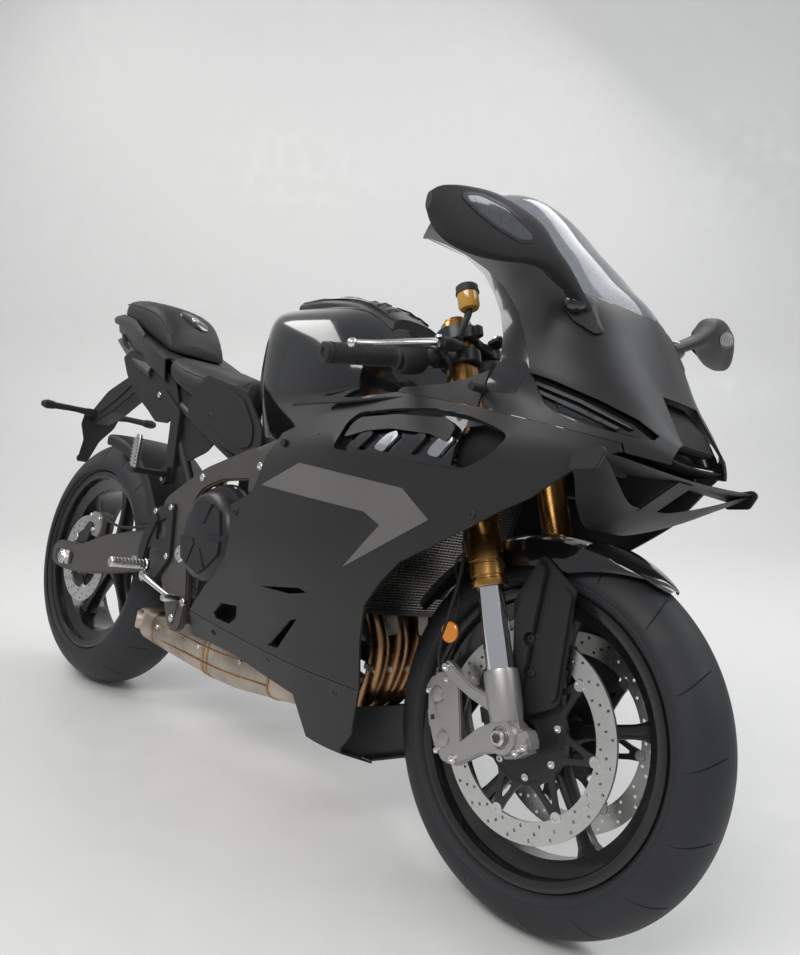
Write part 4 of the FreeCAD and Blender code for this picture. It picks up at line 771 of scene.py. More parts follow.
def tyre_profile(radius, half, height, rim_half):
    """Radius and Y from one bead over the crown to the other."""
    bead, centre = radius - height, radius - half
    flange = bead + 13
    crown = [(centre + half * math.cos(a), half * math.sin(a))
             for a in (math.radians(6 * k) for k in range(-13, 14))]
    r, y = crown[-1]
    wide = y - rim_half
    wall = [
        (r - 5, y - 0.8), (r - 5.8, y - 1.7), (r - 8.4, y - 1.9), (r - 9.2, y - 1.4),
        (flange + 10, rim_half + 0.62 * wide), (flange + 8, rim_half + 0.5 * wide + 0.9),
        (flange + 5, rim_half + 0.3 * wide), (flange + 3, rim_half - 1), (flange, rim_half - 5.5),
        (bead, rim_half - 8.6), (bead, rim_half - 20),
    ]
    return [(a, -b) for a, b in reversed(wall)] + crown + wall + [(radius - 15, 0)]


def tread_ring(radius, half, height, rim_half, pitches, reach, sweep):
    """A tyre with slanted grooves cut down through its crown and shoulders."""
    profile = tyre_profile(radius, half, height, rim_half)
    pitch = 360 / pitches
    bottom, side = math.degrees(1.5 / radius), math.degrees(0.7 / radius)
    offsets = []
    for start in (0.0, pitch / 2):
        offsets += [(start, 0), (start + side, 1), (start + side + bottom, 1), (start + 2 * side + bottom, 0)]
        low, high = start + 2 * side + bottom, start + pitch / 2
        offsets += [(low + (high - low) * k / 4, 0) for k in (1, 2, 3)]
    verts, faces = [], []
    rows = pitches * len(offsets)
    for p in range(pitches):
        for offset, deep in offsets:
            left_groove = offset < pitch / 2
            for r, y in profile:
                on_left = y > 0
                t = max(0.0, abs(y) / half - 0.12)
                lean = sweep * t ** 1.5
                a = math.radians(p * pitch + offset - lean)
                inside = reach[0] * half < abs(y) < reach[1] * half and r > radius - 0.62 * half
                r_here = r - 3.2 if deep and inside and on_left == left_groove else r
                verts.append((r_here * math.cos(a), y, r_here * math.sin(a)))
    count = len(profile)
    for i in range(rows):
        n = (i + 1) % rows
        for j in range(count):
            k = (j + 1) % count
            faces.append((i * count + j, i * count + k, n * count + k, n * count + j))
    return verts, faces


def rim_ring(seat, half):
    """Barrel of a cast wheel with its flanges and drop centre."""
    bead, well = seat - 0.3, seat - 24.3
    outer = [
        (seat + 11.6, half), (seat + 12.8, half - 1.5), (seat + 12.8, half - 4), (seat + 9, half - 5.6),
        (seat + 2, half - 7.6), (bead, half - 9), (bead, half - 24), (well + 3, half - 34), (well, half - 37),
    ]
    inner = [(well - 6, half - 31), (bead - 6, half - 20), (bead - 6, half - 6), (bead - 3.5, half - 1.2),
             (bead - 1, half)]
    mirror = [(r, -y) for r, y in reversed(outer)]
    return lathe(outer + mirror + [(r, -y) for r, y in reversed(inner)] + inner, 96, closed=True)


def spoke(low, high, root, waist, tip, deep):
    """A slim cast spoke standing along +Z with rounded edges."""
    loops = []
    for t, wide, thick in (
        (0, root, deep * 1.5), (0.12, root * 0.82, deep * 1.25), (0.3, waist * 1.15, deep),
        (0.55, waist, deep * 0.9), (0.78, waist * 1.02, deep * 0.92), (0.9, waist * 1.25, deep * 1.05),
        (0.97, tip * 0.8, deep * 1.2), (1.0, tip, deep * 1.35),
    ):
        z = low + (high - low) * t
        loop = []
        for k in range(16):
            a = 2 * math.pi * k / 16
            c, s = math.cos(a), math.sin(a)
            loop.append((wide * math.copysign(abs(c) ** 0.5, c), thick * math.copysign(abs(s) ** 0.5, s), z))
        loops.append(loop)
    return loops_body(loops)


def wheel(name, frame, body, radius, half, height, rim_half, hub_half, deep, pitches, reach, sweep):
    """A tyre with its tread, and a cast rim with five spokes, a hub and a valve."""
    piece(f"{name}_tyre_tread", "tyre", tread_ring(radius, half, height, rim_half, pitches, reach, sweep),
          body=body, frame=frame, nodes=[f"{name}_tyre"], angle=28)
    seat = radius - height
    hub = lathe([
        (35, -hub_half + 3), (37, -hub_half + 7), (34, -hub_half + 16), (28, -hub_half + 26),
        (28, hub_half - 26), (34, hub_half - 16), (37, hub_half - 7), (35, hub_half - 3), (30, hub_half),
        (13.2, hub_half), (13.2, -hub_half), (30, -hub_half),
    ], 48, closed=True)
    spokes = [turned(spoke(24, seat - 27, 24, 11, 26, deep), 72 * k) for k in range(5)]
    valve = aimed(lathe([(0, 0), (4, 0), (4, 12), (2.6, 14), (2.6, 30), (3.6, 31), (3.6, 38), (0, 38)], 12),
                  (0, 8, -(seat - 30)), (0, 0.35, 1))
    piece(f"{name}_rim_cast", "rim", rim_ring(seat, rim_half), hub, *spokes, body=body, frame=frame,
          nodes=[f"{name}_rim"], angle=35)
    piece(f"{name}_valve", "satin", turned(valve, 36), body=body, frame=frame)


wheel("front", FRONT, "front_wheel", 300, 60, 84, 49, 52, 13, 16, (0.30, 0.93), 7)
wheel("rear", REAR, "rear_wheel", 315, 90, 99, 76, 80, 20, 16, (0.22, 0.95), 8)


def hole_pattern(radius, band, groups, size):
    """Rows of three drillings slanted across a braking band."""
    holes = []
    for k in range(groups):
        for j, part in enumerate((0.2, 0.5, 0.8)):
            a = 2 * math.pi * (k + 0.3 * j) / groups
            r = radius - band * part
            holes.append(circle(r * math.cos(a), r * math.sin(a), size, 8))
    return holes


def carrier_outline(arms, low, waist, high, width):
    """A star whose arms end on the bobbins."""
    points = []
    for k in range(arms):
        a = 2 * math.pi * k / arms
        for r, off in ((low, -0.5 * 2 * math.pi / arms), (waist, -0.24), (high - 14, -0.10), (high, -width),
                       (high, width),
                       (high - 14, 0.10), (waist, 0.24)):
            points.append((r * math.cos(a + off), r * math.sin(a + off)))
    return points


def carrier_windows(arms, low, high):
    """The windows in the arms of a disc's carrier."""
    out = []
    for k in range(arms):
        a = 2 * math.pi * k / arms
        ring = [(low, -0.13), (low + 0.45 * (high - low), -0.085), (high, -0.02), (high, 0.02),
                (low + 0.45 * (high - low), 0.085), (low, 0.13), (low - 4, 0.0)]
        out.append([(r * math.cos(a + off), r * math.sin(a + off)) for r, off in ring])
    return out


def disc(name, y, radius, band, arms, groups, hub_y, bore, body, frame, nodes):
    """Floating disc: drilled band, skeleton carrier, bobbins and bolts."""
    side = 1 if y > 0 else -1
    inner = radius - band
    ring = [(radius * math.cos(a), radius * math.sin(a)) for a in (2 * math.pi * k / 120 for k in range(120))]
    hole = [(inner * math.cos(a), inner * math.sin(a)) for a in (2 * math.pi * k / 96 for k in range(96))]
    piece(f"{name}_band", "disc", drilled(ring, [hole] + hole_pattern(radius, band, groups, 2.7), y - 2.5,
                                          y + 2.5),
          body=body, frame=frame, nodes=nodes, angle=30)
    high = inner - 2.5
    bore_loop = circle(0, 0, bore, 36)
    arm_plate = drilled(carrier_outline(arms, 0.56 * high, 0.66 * high, high, 0.07),
                        [bore_loop] + carrier_windows(arms, 0.62 * high, 0.86 * high), y - 2.2, y + 2.2)
    cup = lathe([
        (0.60 * high, y - 2.2 * side), (0.60 * high, y + 2.2 * side), (0.55 * high, y + 2.4 * side),
        (0.50 * high, y + 0.6 * side), (bore + 6, y + 0.6 * side), (bore + 4, y + 2.4 * side),
        (bore, y + 2.4 * side), (bore, side * hub_y), (0.55 * high, side * hub_y),
        (0.60 * high, side * hub_y + 3 * side),
    ], 60, closed=True)
    piece(f"{name}_carrier", "satin", arm_plate, cup, body=body, frame=frame, angle=30)
    buttons, bolts = [], []
    for k in range(arms):
        a = 360 * k / arms
        button = lathe([(0, -3.4), (8.5, -3.4), (9.2, -2.6), (9.2, 2.6), (8.5, 3.6), (5.2, 3.6), (4.6, 2.4),
                        (0, 2.4)], 20)
        buttons.append(turned(shifted(sided(button, side), inner, y, 0), a))
        head = shifted(bolt(6.2, 5), 0.50 * high, 0, 0)
        head = shifted(sided(head, side), 0, y + side * 0.4, 0)
        bolts.append(turned(head, a + 180 / arms))
    piece(f"{name}_bobbins", "bright", *buttons, body=body, frame=frame, angle=30)
    piece(f"{name}_bolts", "bright", *bolts, body=body, frame=frame, angle=30)


disc("front_disc_right", -63.5, 160, 34, 7, 24, 52, 23, "front_wheel", FRONT, ["front_discs"])
disc("front_disc_left", 63.5, 160, 34, 7, 24, 52, 23, "front_wheel", FRONT, ["front_discs"])
disc("rear_disc_right", -98, 110, 34, 5, 18, 80, 23, "rear_wheel", REAR, ["rear_disc"])


# a tooth: height from the tips, and place along one pitch
TOOTH = [(-6.2, -0.30), (-5.8, 0.0), (-6.2, 0.18), (-1.2, 0.42), (0, 0.5), (-1.2, 0.58)]


def sprocket():
    """Rear sprocket with rounded teeth and windows, on its carrier."""
    teeth, radius, y = 43, 88, 108
    outline = []
    for k in range(teeth):
        a = 2 * math.pi * k / teeth
        step = 2 * math.pi / teeth
        for r, off in TOOTH:
            r += radius
            outline.append((r * math.cos(a + off * step), r * math.sin(a + off * step)))
    windows = []
    for k in range(5):
        a = 2 * math.pi * (k + 0.5) / 5
        windows.append([(r * math.cos(a + off), r * math.sin(a + off)) for r, off in (
            (60, -0.28), (70, -0.34), (74, -0.2), (75, 0), (74, 0.2), (70, 0.34), (60, 0.28), (58, 0))])
    piece("rear_sprocket_teeth", "chain", drilled(outline, [circle(0, 0, 40, 40)] + windows, y - 3, y + 3),
          body="rear_wheel", frame=REAR, nodes=["rear_sprocket"], angle=30)
    hub = lathe([(56, 81), (57, 84), (57, y - 3.2), (52, y + 3), (34, y + 3), (34, y - 2), (22.5, y - 2),
                 (22.5, 81)], 60, closed=True)
    arms = [turned(slab([(50, -11), (66, -8), (66, 8), (50, 11)], y - 9, y - 3.1, 1), 72 * k)
            for k in range(5)]
    nut = shifted(lathe([(0, 8), (4, 8), (6, 7), (7.5, 4), (7.5, 0), (0, 0)], 6), 62, y + 2.8, 0)
    nuts = [turned(nut, 72 * k) for k in range(5)]
    piece("rear_sprocket_carrier", "satin", hub, *arms, body="rear_wheel", frame=REAR)
    piece("rear_sprocket_nuts", "bright", *nuts, body="rear_wheel", frame=REAR)


sprocket()


# Fork, brakes and front fender, in the fork's own frame (X across it, Z up along it)

def fork_legs():
    """Upside-down fork legs with caps, and their feet with the arms for the calipers."""
    for name, s in SIDES:
        y = s * 106
        gold = lathe([
            (22.4, 227), (28.4, 227), (29.4, 229), (29.4, 238), (27.6, 239.5), (27.6, 243), (29.4, 244.5),
            (29.4, 262), (27.6, 263.5), (27.6, 267), (29.4, 268.5), (29.4, 300), (27, 306), (27, 676),
            (25.5, 680), (0, 680), (0, 640), (22.4, 640),
        ], 40, closed=True)
        piece(f"fork_upper_{name}", "gold", upright(gold, 0, y, 0), **ON_FORK, nodes=["fork_uppers"])
        cap = lathe([(0, 692), (7, 692), (8, 690), (15, 690), (19.5, 688), (21, 685), (21, 680.2),
                     (0, 680.2)], 36)
        piece(f"fork_cap_{name}", "bronze", upright(cap, 0, y, 0), **ON_FORK)
        tube_part = lathe([(0, 80), (21.5, 80), (21.5, 226.6), (0, 226.6)], 40)
        piece(f"fork_tube_{name}", "chrome", upright(tube_part, 0, y, 0), **ON_FORK)
        # the foot: collar, neck and axle boss, with the caliper's two arms behind
        collar = lathe([(0, 22), (24, 22), (27, 40), (27.5, 92), (26, 99), (22.2, 100), (0, 100)], 40)
        boss = lathe([(12.9, -21), (24, -21), (27, -18), (28.5, 0), (27.5, 17), (25, 21.5), (17, 22),
                      (16, 19), (12.9, 19)], 40, closed=True)
        boss = set_on(boss, s, 0, 106, 0)
        neck = side_slab([(-27, 0), (-26, 60), (26, 60), (28, 2), (30, -20), (12, -33), (-14, -31),
                          (-27, -14)], s, 96, 120, 6)
        pinch = side_slab([(8, -34), (44, -26), (48, -6), (40, 10), (20, 6)], s, 92, 124, 5)
        upper_arm = side_slab([
            (-14, 98), (-20, 60), (-60, 82), (-92, 116), (-104, 130), (-118, 120), (-108, 100), (-70, 66),
            (-24, 34), (-10, 40),
        ], s, 90.5, 108, 3)
        lower_arm = side_slab([
            (-20, 26), (-60, 18), (-104, -2), (-126, -22), (-116, -36), (-92, -30), (-60, -22), (-24, -22),
            (-10, 0),
        ], s, 90.5, 108, 3)
        strut = side_slab([(-92, 112), (-104, 112), (-118, -20), (-106, -24)], s, 90.5, 98, 2)
        foot = [upright(collar, 0, y, 0), boss, neck, pinch, upper_arm, lower_arm, strut]
        piece(f"fork_foot_{name}", "cast", *foot, **ON_FORK, nodes=["fork_lowers"], angle=38)
        screws = [set_on(bolt(5.5, 5), s, x, 123.5, z) for x, z in ((22, -24), (38, -18))]
        screws += [set_on(bolt(7, 6), s, x, 107.5, z) for x, z in ((-106, 118), (-114, -24))]
        piece(f"fork_screws_{name}", "bright", *screws, **ON_FORK)


fork_legs()


def front_axle():
    """Hollow axle with a hexagon bore at its ends."""
    bar = raw("front_axle_bar", lathe([(0, -138), (10.5, -138), (12.3, -136), (12.3, 136), (10.5, 138),
                                       (0, 138)], 40))
    hexagon = [(8.4 * math.cos(a), 8.4 * math.sin(a)) for a in (math.pi / 3 * k for k in range(6))]
    carve(bar, slab(hexagon, -150, 150))
    settle(bar, "bright", **ON_AXLE, nodes=["front_axle"])


front_axle()


def calipers():
    """Radial calipers: cast body astride the disc, bridge bolts, pads and bleed nipples."""
    outline = round_outline([
        (-120, 112), (-146, 116), (-170, 92), (-178, 46), (-172, -2), (-150, -32), (-122, -32), (-106, -10),
        (-112, 40), (-106, 92),
    ], 14, 4)
    for name, s in SIDES:
        outer = side_slab(outline, s, 71.5, 89.4, 4)
        inner = side_slab(widened(outline, -3), s, 47, 55.5, 3)
        bridges = [
            side_slab(round_outline([(-176, 94), (-160, 110), (-128, 112), (-140, 92), (-163, 76)], 5), s, 50,
                      86, 3),
            side_slab(round_outline([(-174, 4), (-158, -26), (-126, -30), (-146, -6), (-163, 12)], 5), s, 50,
                      86, 3),
            side_slab(round_outline([(-178, 58), (-178, 30), (-166, 30), (-166, 58)], 3), s, 50, 86, 2),
        ]
        window = round_outline([(-160, 70), (-152, 22), (-128, 22), (-122, 70)], 8)
        body = carve(raw(f"caliper_{name}", outer), side_slab(window, s, 86.5, 96, 1))
        settle(body, "cast", **ON_FORK, nodes=["front_calipers"])
        piece(f"caliper_back_{name}", "cast", inner, *bridges, **ON_FORK)
        dome = lathe([(0, 4.4), (8, 4.2), (12, 3), (14, 0), (14, -2), (0, -2)], 28)
        domes = [set_on(dome, s, x, 89.2, z) for x, z in ((-150, 80), (-148, 8))]
        piece(f"caliper_domes_{name}", "cast", *domes, **ON_FORK)
        pad = [(-158, 70), (-158, 18), (-136, 18), (-136, 70)]
        pads = [side_slab(pad, s, near, near + 5, 1) for near in (66.4, 55.6)]
        pin = side_slab([(-170, 50), (-170, 40), (-160, 40), (-160, 50)], s, 52, 90, 1)
        piece(f"caliper_pads_{name}", "satin", *pads, pin, **ON_FORK)
        places = ((-166, 88), (-164, -8), (-124, 100), (-122, -18))
        heads = [set_on(bolt(5, 4), s, x, 89.3, z) for x, z in places]
        nipple = lathe([(0, 0), (4.4, 0), (4.4, 5), (2.6, 6), (2.6, 13), (0, 13)], 6)
        nipple = aimed(nipple, (-150, s * 80, 110), (0, 0, 1))
        piece(f"caliper_bolts_{name}", "bright", *heads, nipple, **ON_FORK)


calipers()


GUARD_BOLTS = ((-10, 147), (1, 97))


def front_fender():
    """Gloss arch that narrows to a point before the wheel, and matte guards over the fork tubes."""
    rows = []
    for k in range(33):
        t = k / 32
        angle = math.radians(57 + 93 * t)
        wide = min(1.0, 0.16 + 1.9 * t ** 0.62) if t < 0.3 else 1.0
        drop = 46 * min(1.0, max(0.0, (t - 0.06) / 0.22)) * (1 - 0.45 * max(0, (t - 0.62) / 0.38))
        crown = [
            (-74.5 * wide, -4 - drop), (-75 * wide, -2 - drop * 0.6), (-72 * wide, -9 * wide + 1),
            (-60 * wide, -4.5 * wide + 2.5), (-44 * wide, 3.0), (-22 * wide, 5.2), (0, 5.8),
        ]
        crown += [(-y, h) for y, h in reversed(crown[:-1])]
        line = smooth_line([(y, h, 0) for y, h in crown], 3, crisp=(2, 10))
        rows.append([((309 + p[1]) * math.cos(angle), p[0], (309 + p[1]) * math.sin(angle)) for p in line])
    piece("fender_arch", "gloss", arch_skin(np.array(rows), 3), **ON_AXLE, nodes=["front_fender"], angle=40)
    # matte guards beside the disc, drawn on the bike from the axle up
    guard = [(-17, 280), (55, 233), (52, 220), (57, 166), (59, 62), (7, 32), (-25, 44), (-34, 92), (-58, 197)]
    for name, s in SIDES:
        piece(f"fork_guard_{name}", "matte", side_slab(round_outline(guard, 12, 4), s, 75.6, 79, 1.2),
              **ON_AXLE)
        rib = side_slab(round_outline([(-20, 268), (-2, 258), (-8, 60), (-26, 56), (-44, 170)], 8), s, 79, 88,
                        3)
        front_rib = round_outline([(30, 238), (50, 226), (54, 70), (44, 62), (34, 120)], 6)
        front_rib = side_slab(front_rib, s, 79, 84, 2)
        ribs = raw(f"guard_rib_{name}", rib, front_rib)
        hole = lathe([(0, -3), (9, -3), (10.5, 9), (0, 9)], 24)
        carve(ribs, *[set_on(hole, s, x, 81, z) for x, z in GUARD_BOLTS])
        settle(ribs, "matte", **ON_AXLE)
        heads = [set_on(bolt(6, 4), s, x, 79, z) for x, z in GUARD_BOLTS]
        piece(f"guard_bolts_{name}", "satin", *heads, **ON_AXLE)
        # side reflector on its wire behind the fork tube
        amber = lathe([(0, 5), (15, 5), (17, 3.6), (17, 0), (0, 0)], 30)
        back = lathe([(0, 0), (18.2, 0), (18.2, -2.5), (15, -4), (0, -4)], 30)
        for look, part, tag in (("amber", amber, "face"), ("satin", back, "back")):
            piece(f"reflector_{tag}_{name}", look, set_on(part, s, -152, 104, 123), **ON_AXLE)
        bends = [(-152, 100, 140), (-150, 99, 170), (-160, 97, 200), (-172, 98, 232), (-150, 100, 262)]
        wire = tube([(x, s * y, z) for x, y, z in bends], 2.2, 8)
        piece(f"reflector_wire_{name}", "rubber", wire, **ON_AXLE)


front_fender()


# Mirrors, clamps, bars, levers and dash

# y, back x and front x ahead of the front axle, low z, high z, squareness
MIRROR = [
    (128, -2, 26, 934, 956, 0.9), (158, 0, 28, 948, 970, 0.9), (200, 2, 30, 966, 992, 0.85),
    (232, -10, 26, 976, 1012, 0.8), (262, -24, 22, 976, 1034, 0.7), (300, -36, 12, 968, 1046, 0.62),
    (340, -44, 2, 964, 1050, 0.6), (385, -48, -10, 966, 1044, 0.62), (418, -46, -22, 978, 1034, 0.7),
    (436, -42, -32, 996, 1020, 0.85),
]
# what the mirror shows from ahead or behind, in YZ, and its foot in XZ
MIRROR_PANE = [(276, 982), (268, 1008), (290, 1036), (340, 1043), (392, 1036), (424, 1014), (420, 990),
               (386, 974),
               (330, 970)]
MIRROR_LENS = [(398, 1026), (374, 1034), (330, 1030), (284, 1010), (280, 1002), (300, 996), (336, 1002),
               (376, 1014)]
MIRROR_FOOT = [(-12, 962), (-6, 944), (14, 924), (44, 908), (48, 914), (30, 940), (16, 966), (2, 976)]


def mirror_body(s, grow=0.0):
    """The mirror's housing, grown all round."""
    rows = []
    for y, back, front, low, high, power in smooth_line(MIRROR, 5):
        x, z = (back + front) / 2, (low + high) / 2
        wide, tall = (front - back) / 2 + grow, (high - low) / 2 + grow
        rows.append([(FX + x + wide * a, y, z + tall * b) for a, b in rounded_loop(28, power)])
    return sided(closed_body(np.array(rows)), s)


def mirror_slab(outline, s, low, high):
    """A YZ outline made solid between two X values from the front axle."""
    return sided(front_slab(outline, FX + low, FX + high), s)


def make_mirrors():
    """Mirror housings with glass and a lamp in their front, and their feet on the cowl."""
    pane, lens = round_outline(MIRROR_PANE, 12, 3), round_outline(MIRROR_LENS, 7, 3)
    for name, s in SIDES:
        housing = raw(f"mirror_{name}", mirror_body(s))
        carve(housing, mirror_slab(pane, s, -120, -35))
        settle(housing, "moulded", nodes=["mirrors"])
        piece(f"mirror_glass_{name}", "chrome", mirror_slab(widened(pane, -1.5), s, -36.5, -35.2))
        rim = raw(f"mirror_lamp_frame_{name}", mirror_body(s, 1.2))
        keep(rim, mirror_slab(widened(lens, 4), s, -34, 80))
        carve(rim, mirror_slab(lens, s, -60, 90))
        settle(rim, "satin")
        inside = raw(f"mirror_lamp_{name}", mirror_body(s, 0.5))
        keep(inside, mirror_slab(widened(lens, -0.4), s, -34, 80))
        settle(inside, "indicator")
        for k in range(5):
            y, z = 292 + 20 * k, 1002 + 3 * k
            facet = raw(f"mirror_facet_{name}_{k}", mirror_body(s, 0.9))
            keep(facet, mirror_slab([(y, z), (y + 3, z), (y + 9, z + 14), (y + 6, z + 14)], s, -34, 80))
            settle(facet, "indicator")
        # the foot on the cowl, with its ball joint
        foot = raw(f"mirror_foot_{name}", skin(upper_grid, 5, 1))
        keep(foot, side_slab(round_outline(ahead(MIRROR_FOOT), 6), s, 60, 240))
        settle(foot, "moulded")
        piece(f"mirror_joint_{name}", "gloss", shifted(ball(17, 24), FX + 10, s * 150, 950))


make_mirrors()


# how far the steering stem stands behind the fork tubes
STEM_X = -28.5
CLAMP_WEB = [(-24, -96), (22, -88), (8, -52), (-2, 0), (8, 52), (22, 88), (-24, 96), (-50, 46), (-64, 24),
             (-64, -24),
             (-50, -46)]


def clamps():
    """Triple clamps: rings round the fork tubes, webs, stem nut and pinch bolts."""
    for name, low in (("low", 448), ("top", 642)):
        parts = []
        for s in (1, -1):
            ring = lathe([(27.3, 0), (27.3, 26), (34, 26), (36, 24), (36, 2), (34, 0)], 40, closed=True)
            parts.append(upright(ring, 0, s * 106, low))
            lug = [(26, s * 90), (46, s * 92), (46, s * 106), (26, s * 108)]
            parts.append(flat_slab(lug, low + 3, low + 23, 2))
        plate = flat_slab(round_outline(CLAMP_WEB, 14, 4), low + 4, low + 22, 2.5)
        boss = lathe([(14, -1), (14, 27), (28, 27), (31, 24), (31, 2), (28, -1)], 40, closed=True)
        parts += [plate, upright(boss, STEM_X, 0, low)]
        piece(f"clamp_{name}", "satin", *parts, **ON_FORK, nodes=["fork_clamps"])
        screws = []
        for s in (1, -1):
            turn = Matrix.Rotation(math.pi, 4, "X") if s > 0 else Matrix.Identity(4)
            screws.append(moved(bolt(5.5, 5), Matrix.Translation((36, s * 92, low + 13)) @ turn))
        piece(f"clamp_screws_{name}", "bright", *screws, **ON_FORK)
    stem = lathe([(9, 440), (14, 440), (14, 676), (9, 676)], 32, closed=True)
    piece("steering_stem", "bright", upright(stem, STEM_X, 0, 0), **ON_FORK)
    nut = lathe([(9.4, 668.5), (20, 668.5), (21, 670), (21, 677), (19, 679), (9.4, 679)], 6, closed=True)
    piece("stem_nut", "bright", upright(nut, STEM_X, 0, 0), **ON_FORK)
    rings = lathe([(15, 668.4), (28, 668.4), (28, 668.9), (15, 668.9)], 40, closed=True)
    lock = flat_slab(round_outline([(-8, -16), (20, -18), (24, 0), (20, 18), (-8, 16)], 6), 668.2, 676, 2)
    barrel = lathe([(0, 684), (6, 684), (7, 682), (11, 681), (12, 676), (0, 676)], 28)
    piece("ignition_lock", "moulded", upright(rings, STEM_X, 0, 0), lock, **ON_FORK)
    piece("ignition_barrel", "bright", upright(barrel, 8, 0, 0), **ON_FORK)


clamps()
BAR_START, BAR_END = Vector((0, 106, 614)), Vector((-74.15, 352, 597.2))
BAR = (BAR_END - BAR_START).normalized()


def along_bar(part, back, s=1):
    """A part drawn along Y, laid on the left bar that far from its end; the right one is its mirror image."""
    made = aimed(part, BAR_END - BAR * back, BAR)
    return sided(made, s)


def bar_point(back, x, y, z):
    """A place beside the left bar, that far from its end."""
    return BAR_END - BAR * back + Vector((x, y, z))


BAR_TIP = [(11.3, -12), (16.6, -12), (17, -10), (17, -8), (15.6, -7), (15.6, -5), (17, -4), (17, -1.5),
           (14, 0), (8, 0),
           (7, -3), (0, -3), (0, -12)]
# along the bar, half width, half height
POD = [(-182, 17, 19), (-180, 20, 22), (-160, 21, 24), (-139, 21, 23), (-136, 19, 21)]


def bars():
    """Clip-on bars with ribbed grips, switch pods and levers."""
    for name, s in SIDES:
        ring = lathe([(27.3, -13), (27.3, 13), (33, 13), (35, 11), (35, -11), (33, -13)], 40, closed=True)
        lug = flat_slab([(-12, s * 76), (10, s * 74), (12, s * 84), (-12, s * 84)], 603, 625, 2)
        socket = along_bar(lathe([(0, -236), (15, -236), (15, -205), (13, -202), (0, -202)], 28), 0, s)
        ring = upright(ring, 0, s * 106, 614)
        piece(f"clip_on_{name}", "satin", ring, lug, socket, **ON_FORK, nodes=["handlebars"])
        bar = along_bar(lathe([(0, -236), (11, -236), (11, -4), (0, -4)], 28), 0, s)
        piece(f"bar_{name}", "satin", bar, **ON_FORK)
        piece(f"bar_end_{name}", "moulded", along_bar(lathe(BAR_TIP, 32), 0, s), **ON_FORK)
        profile = [(11.4, -134), (20.5, -134), (21, -132), (21, -129), (18, -127), (17.2, -124)]
        for k in range(22):
            y = -120 + 4.8 * k
            profile += [(17.0, y), (17.0, y + 2.6), (16.0, y + 3.0), (16.0, y + 4.4)]
        profile += [(17.6, -13.6), (17.6, -12.6), (11.4, -12.6)]
        grip = along_bar(lathe(profile, 32, closed=True), 0, s)
        piece(f"grip_{name}_ribbed", "rubber", grip, **ON_FORK, nodes=["grips"], angle=50)
        # switch pod with its button and the red or black rocker
        pod = loops_body([[(wide * a - 2, y, tall * b - 1) for a, b in rounded_loop(24, 0.55)]
                          for y, wide, tall in POD])
        piece(f"switch_pod_{name}", "moulded", along_bar(pod, 0, s), **ON_FORK, nodes=["bar_controls"],
              angle=40)
        rocker = along_bar(slab([(-8, 22), (8, 22), (7, 29), (-6, 29)], -172, -150, 2), 0, s)
        piece(f"rocker_{name}", "red" if s < 0 else "satin", rocker, **ON_FORK)
        turned = Matrix.Translation((-20, -150, 2)) @ Matrix.Rotation(math.pi / 2, 4, "Z")
        button = moved(lathe([(0, 4), (5, 4), (6, 3), (6, -2), (0, -2)], 20), turned)
        piece(f"button_{name}", "satin", along_bar(button, 0, s), **ON_FORK)
        # lever on its bracket, ending in a ball
        root, far = bar_point(172, 46, 0, 6), bar_point(8, 56, 0, -6)
        line = [root, bar_point(148, 58, 0, 2), bar_point(105, 58, 0, 0), bar_point(55, 54, 0, -3), far]
        lever = tube(line, [8.5, 9.5, 7.5, 6, 5.2, 5.6], 16, 7)
        piece(f"lever_blade_{name}", "bright", sided(lever, s), **ON_FORK, angle=50)
        piece(f"lever_ball_{name}", "bright", sided(shifted(ball(8), *far), s), **ON_FORK, angle=50)
        line = [bar_point(190, 8, 0, 0), bar_point(190, 30, 0, 4), root + Vector((4, -4, 0))]
        piece(f"lever_bracket_{name}", "moulded", sided(tube(line, [15, 13, 12], 20, 5), s), **ON_FORK)
        screw = shifted(upright(bolt(6, 4), 0, 0, 0), *(root + Vector((4, 0, 11))))
        piece(f"lever_screw_{name}", "bright", sided(screw, s), **ON_FORK)
        cylinder = tube([root + Vector((6, -2, 2)), root + Vector((8, -46, 6))], [11, 12, 9], 20, 3)
        piece(f"lever_cylinder_{name}", "moulded", sided(cylinder, s), **ON_FORK)


bars()


def reservoir():
    """Amber fluid cup with its black cap on a bracket before the right bar, and its hose."""
    cup = lathe([(0, 670), (15, 670), (17.5, 674), (17.8, 698), (0, 698)], 36)
    cap = lathe([(0, 712), (16, 712), (18.4, 710), (18.6, 701), (19.6, 700), (19.6, 697), (0, 697)], 36)
    piece("reservoir_cup", "fluid", upright(cup, 66, -150, 0), **ON_FORK)
    piece("reservoir_cap", "moulded", upright(cap, 66, -150, 0), **ON_FORK)
    neck = tube([(66, -150, 671), (64, -152, 660), (56, -160, 640), (48, -166, 622)], 5, 12)
    arm = tube([(60, -150, 668), (50, -146, 652), (30, -140, 628), (28, -132, 618)], 4, 8)
    piece("reservoir_hose", "rubber", neck, **ON_FORK)
    piece("reservoir_arm", "satin", arm, **ON_FORK)


reservoir()


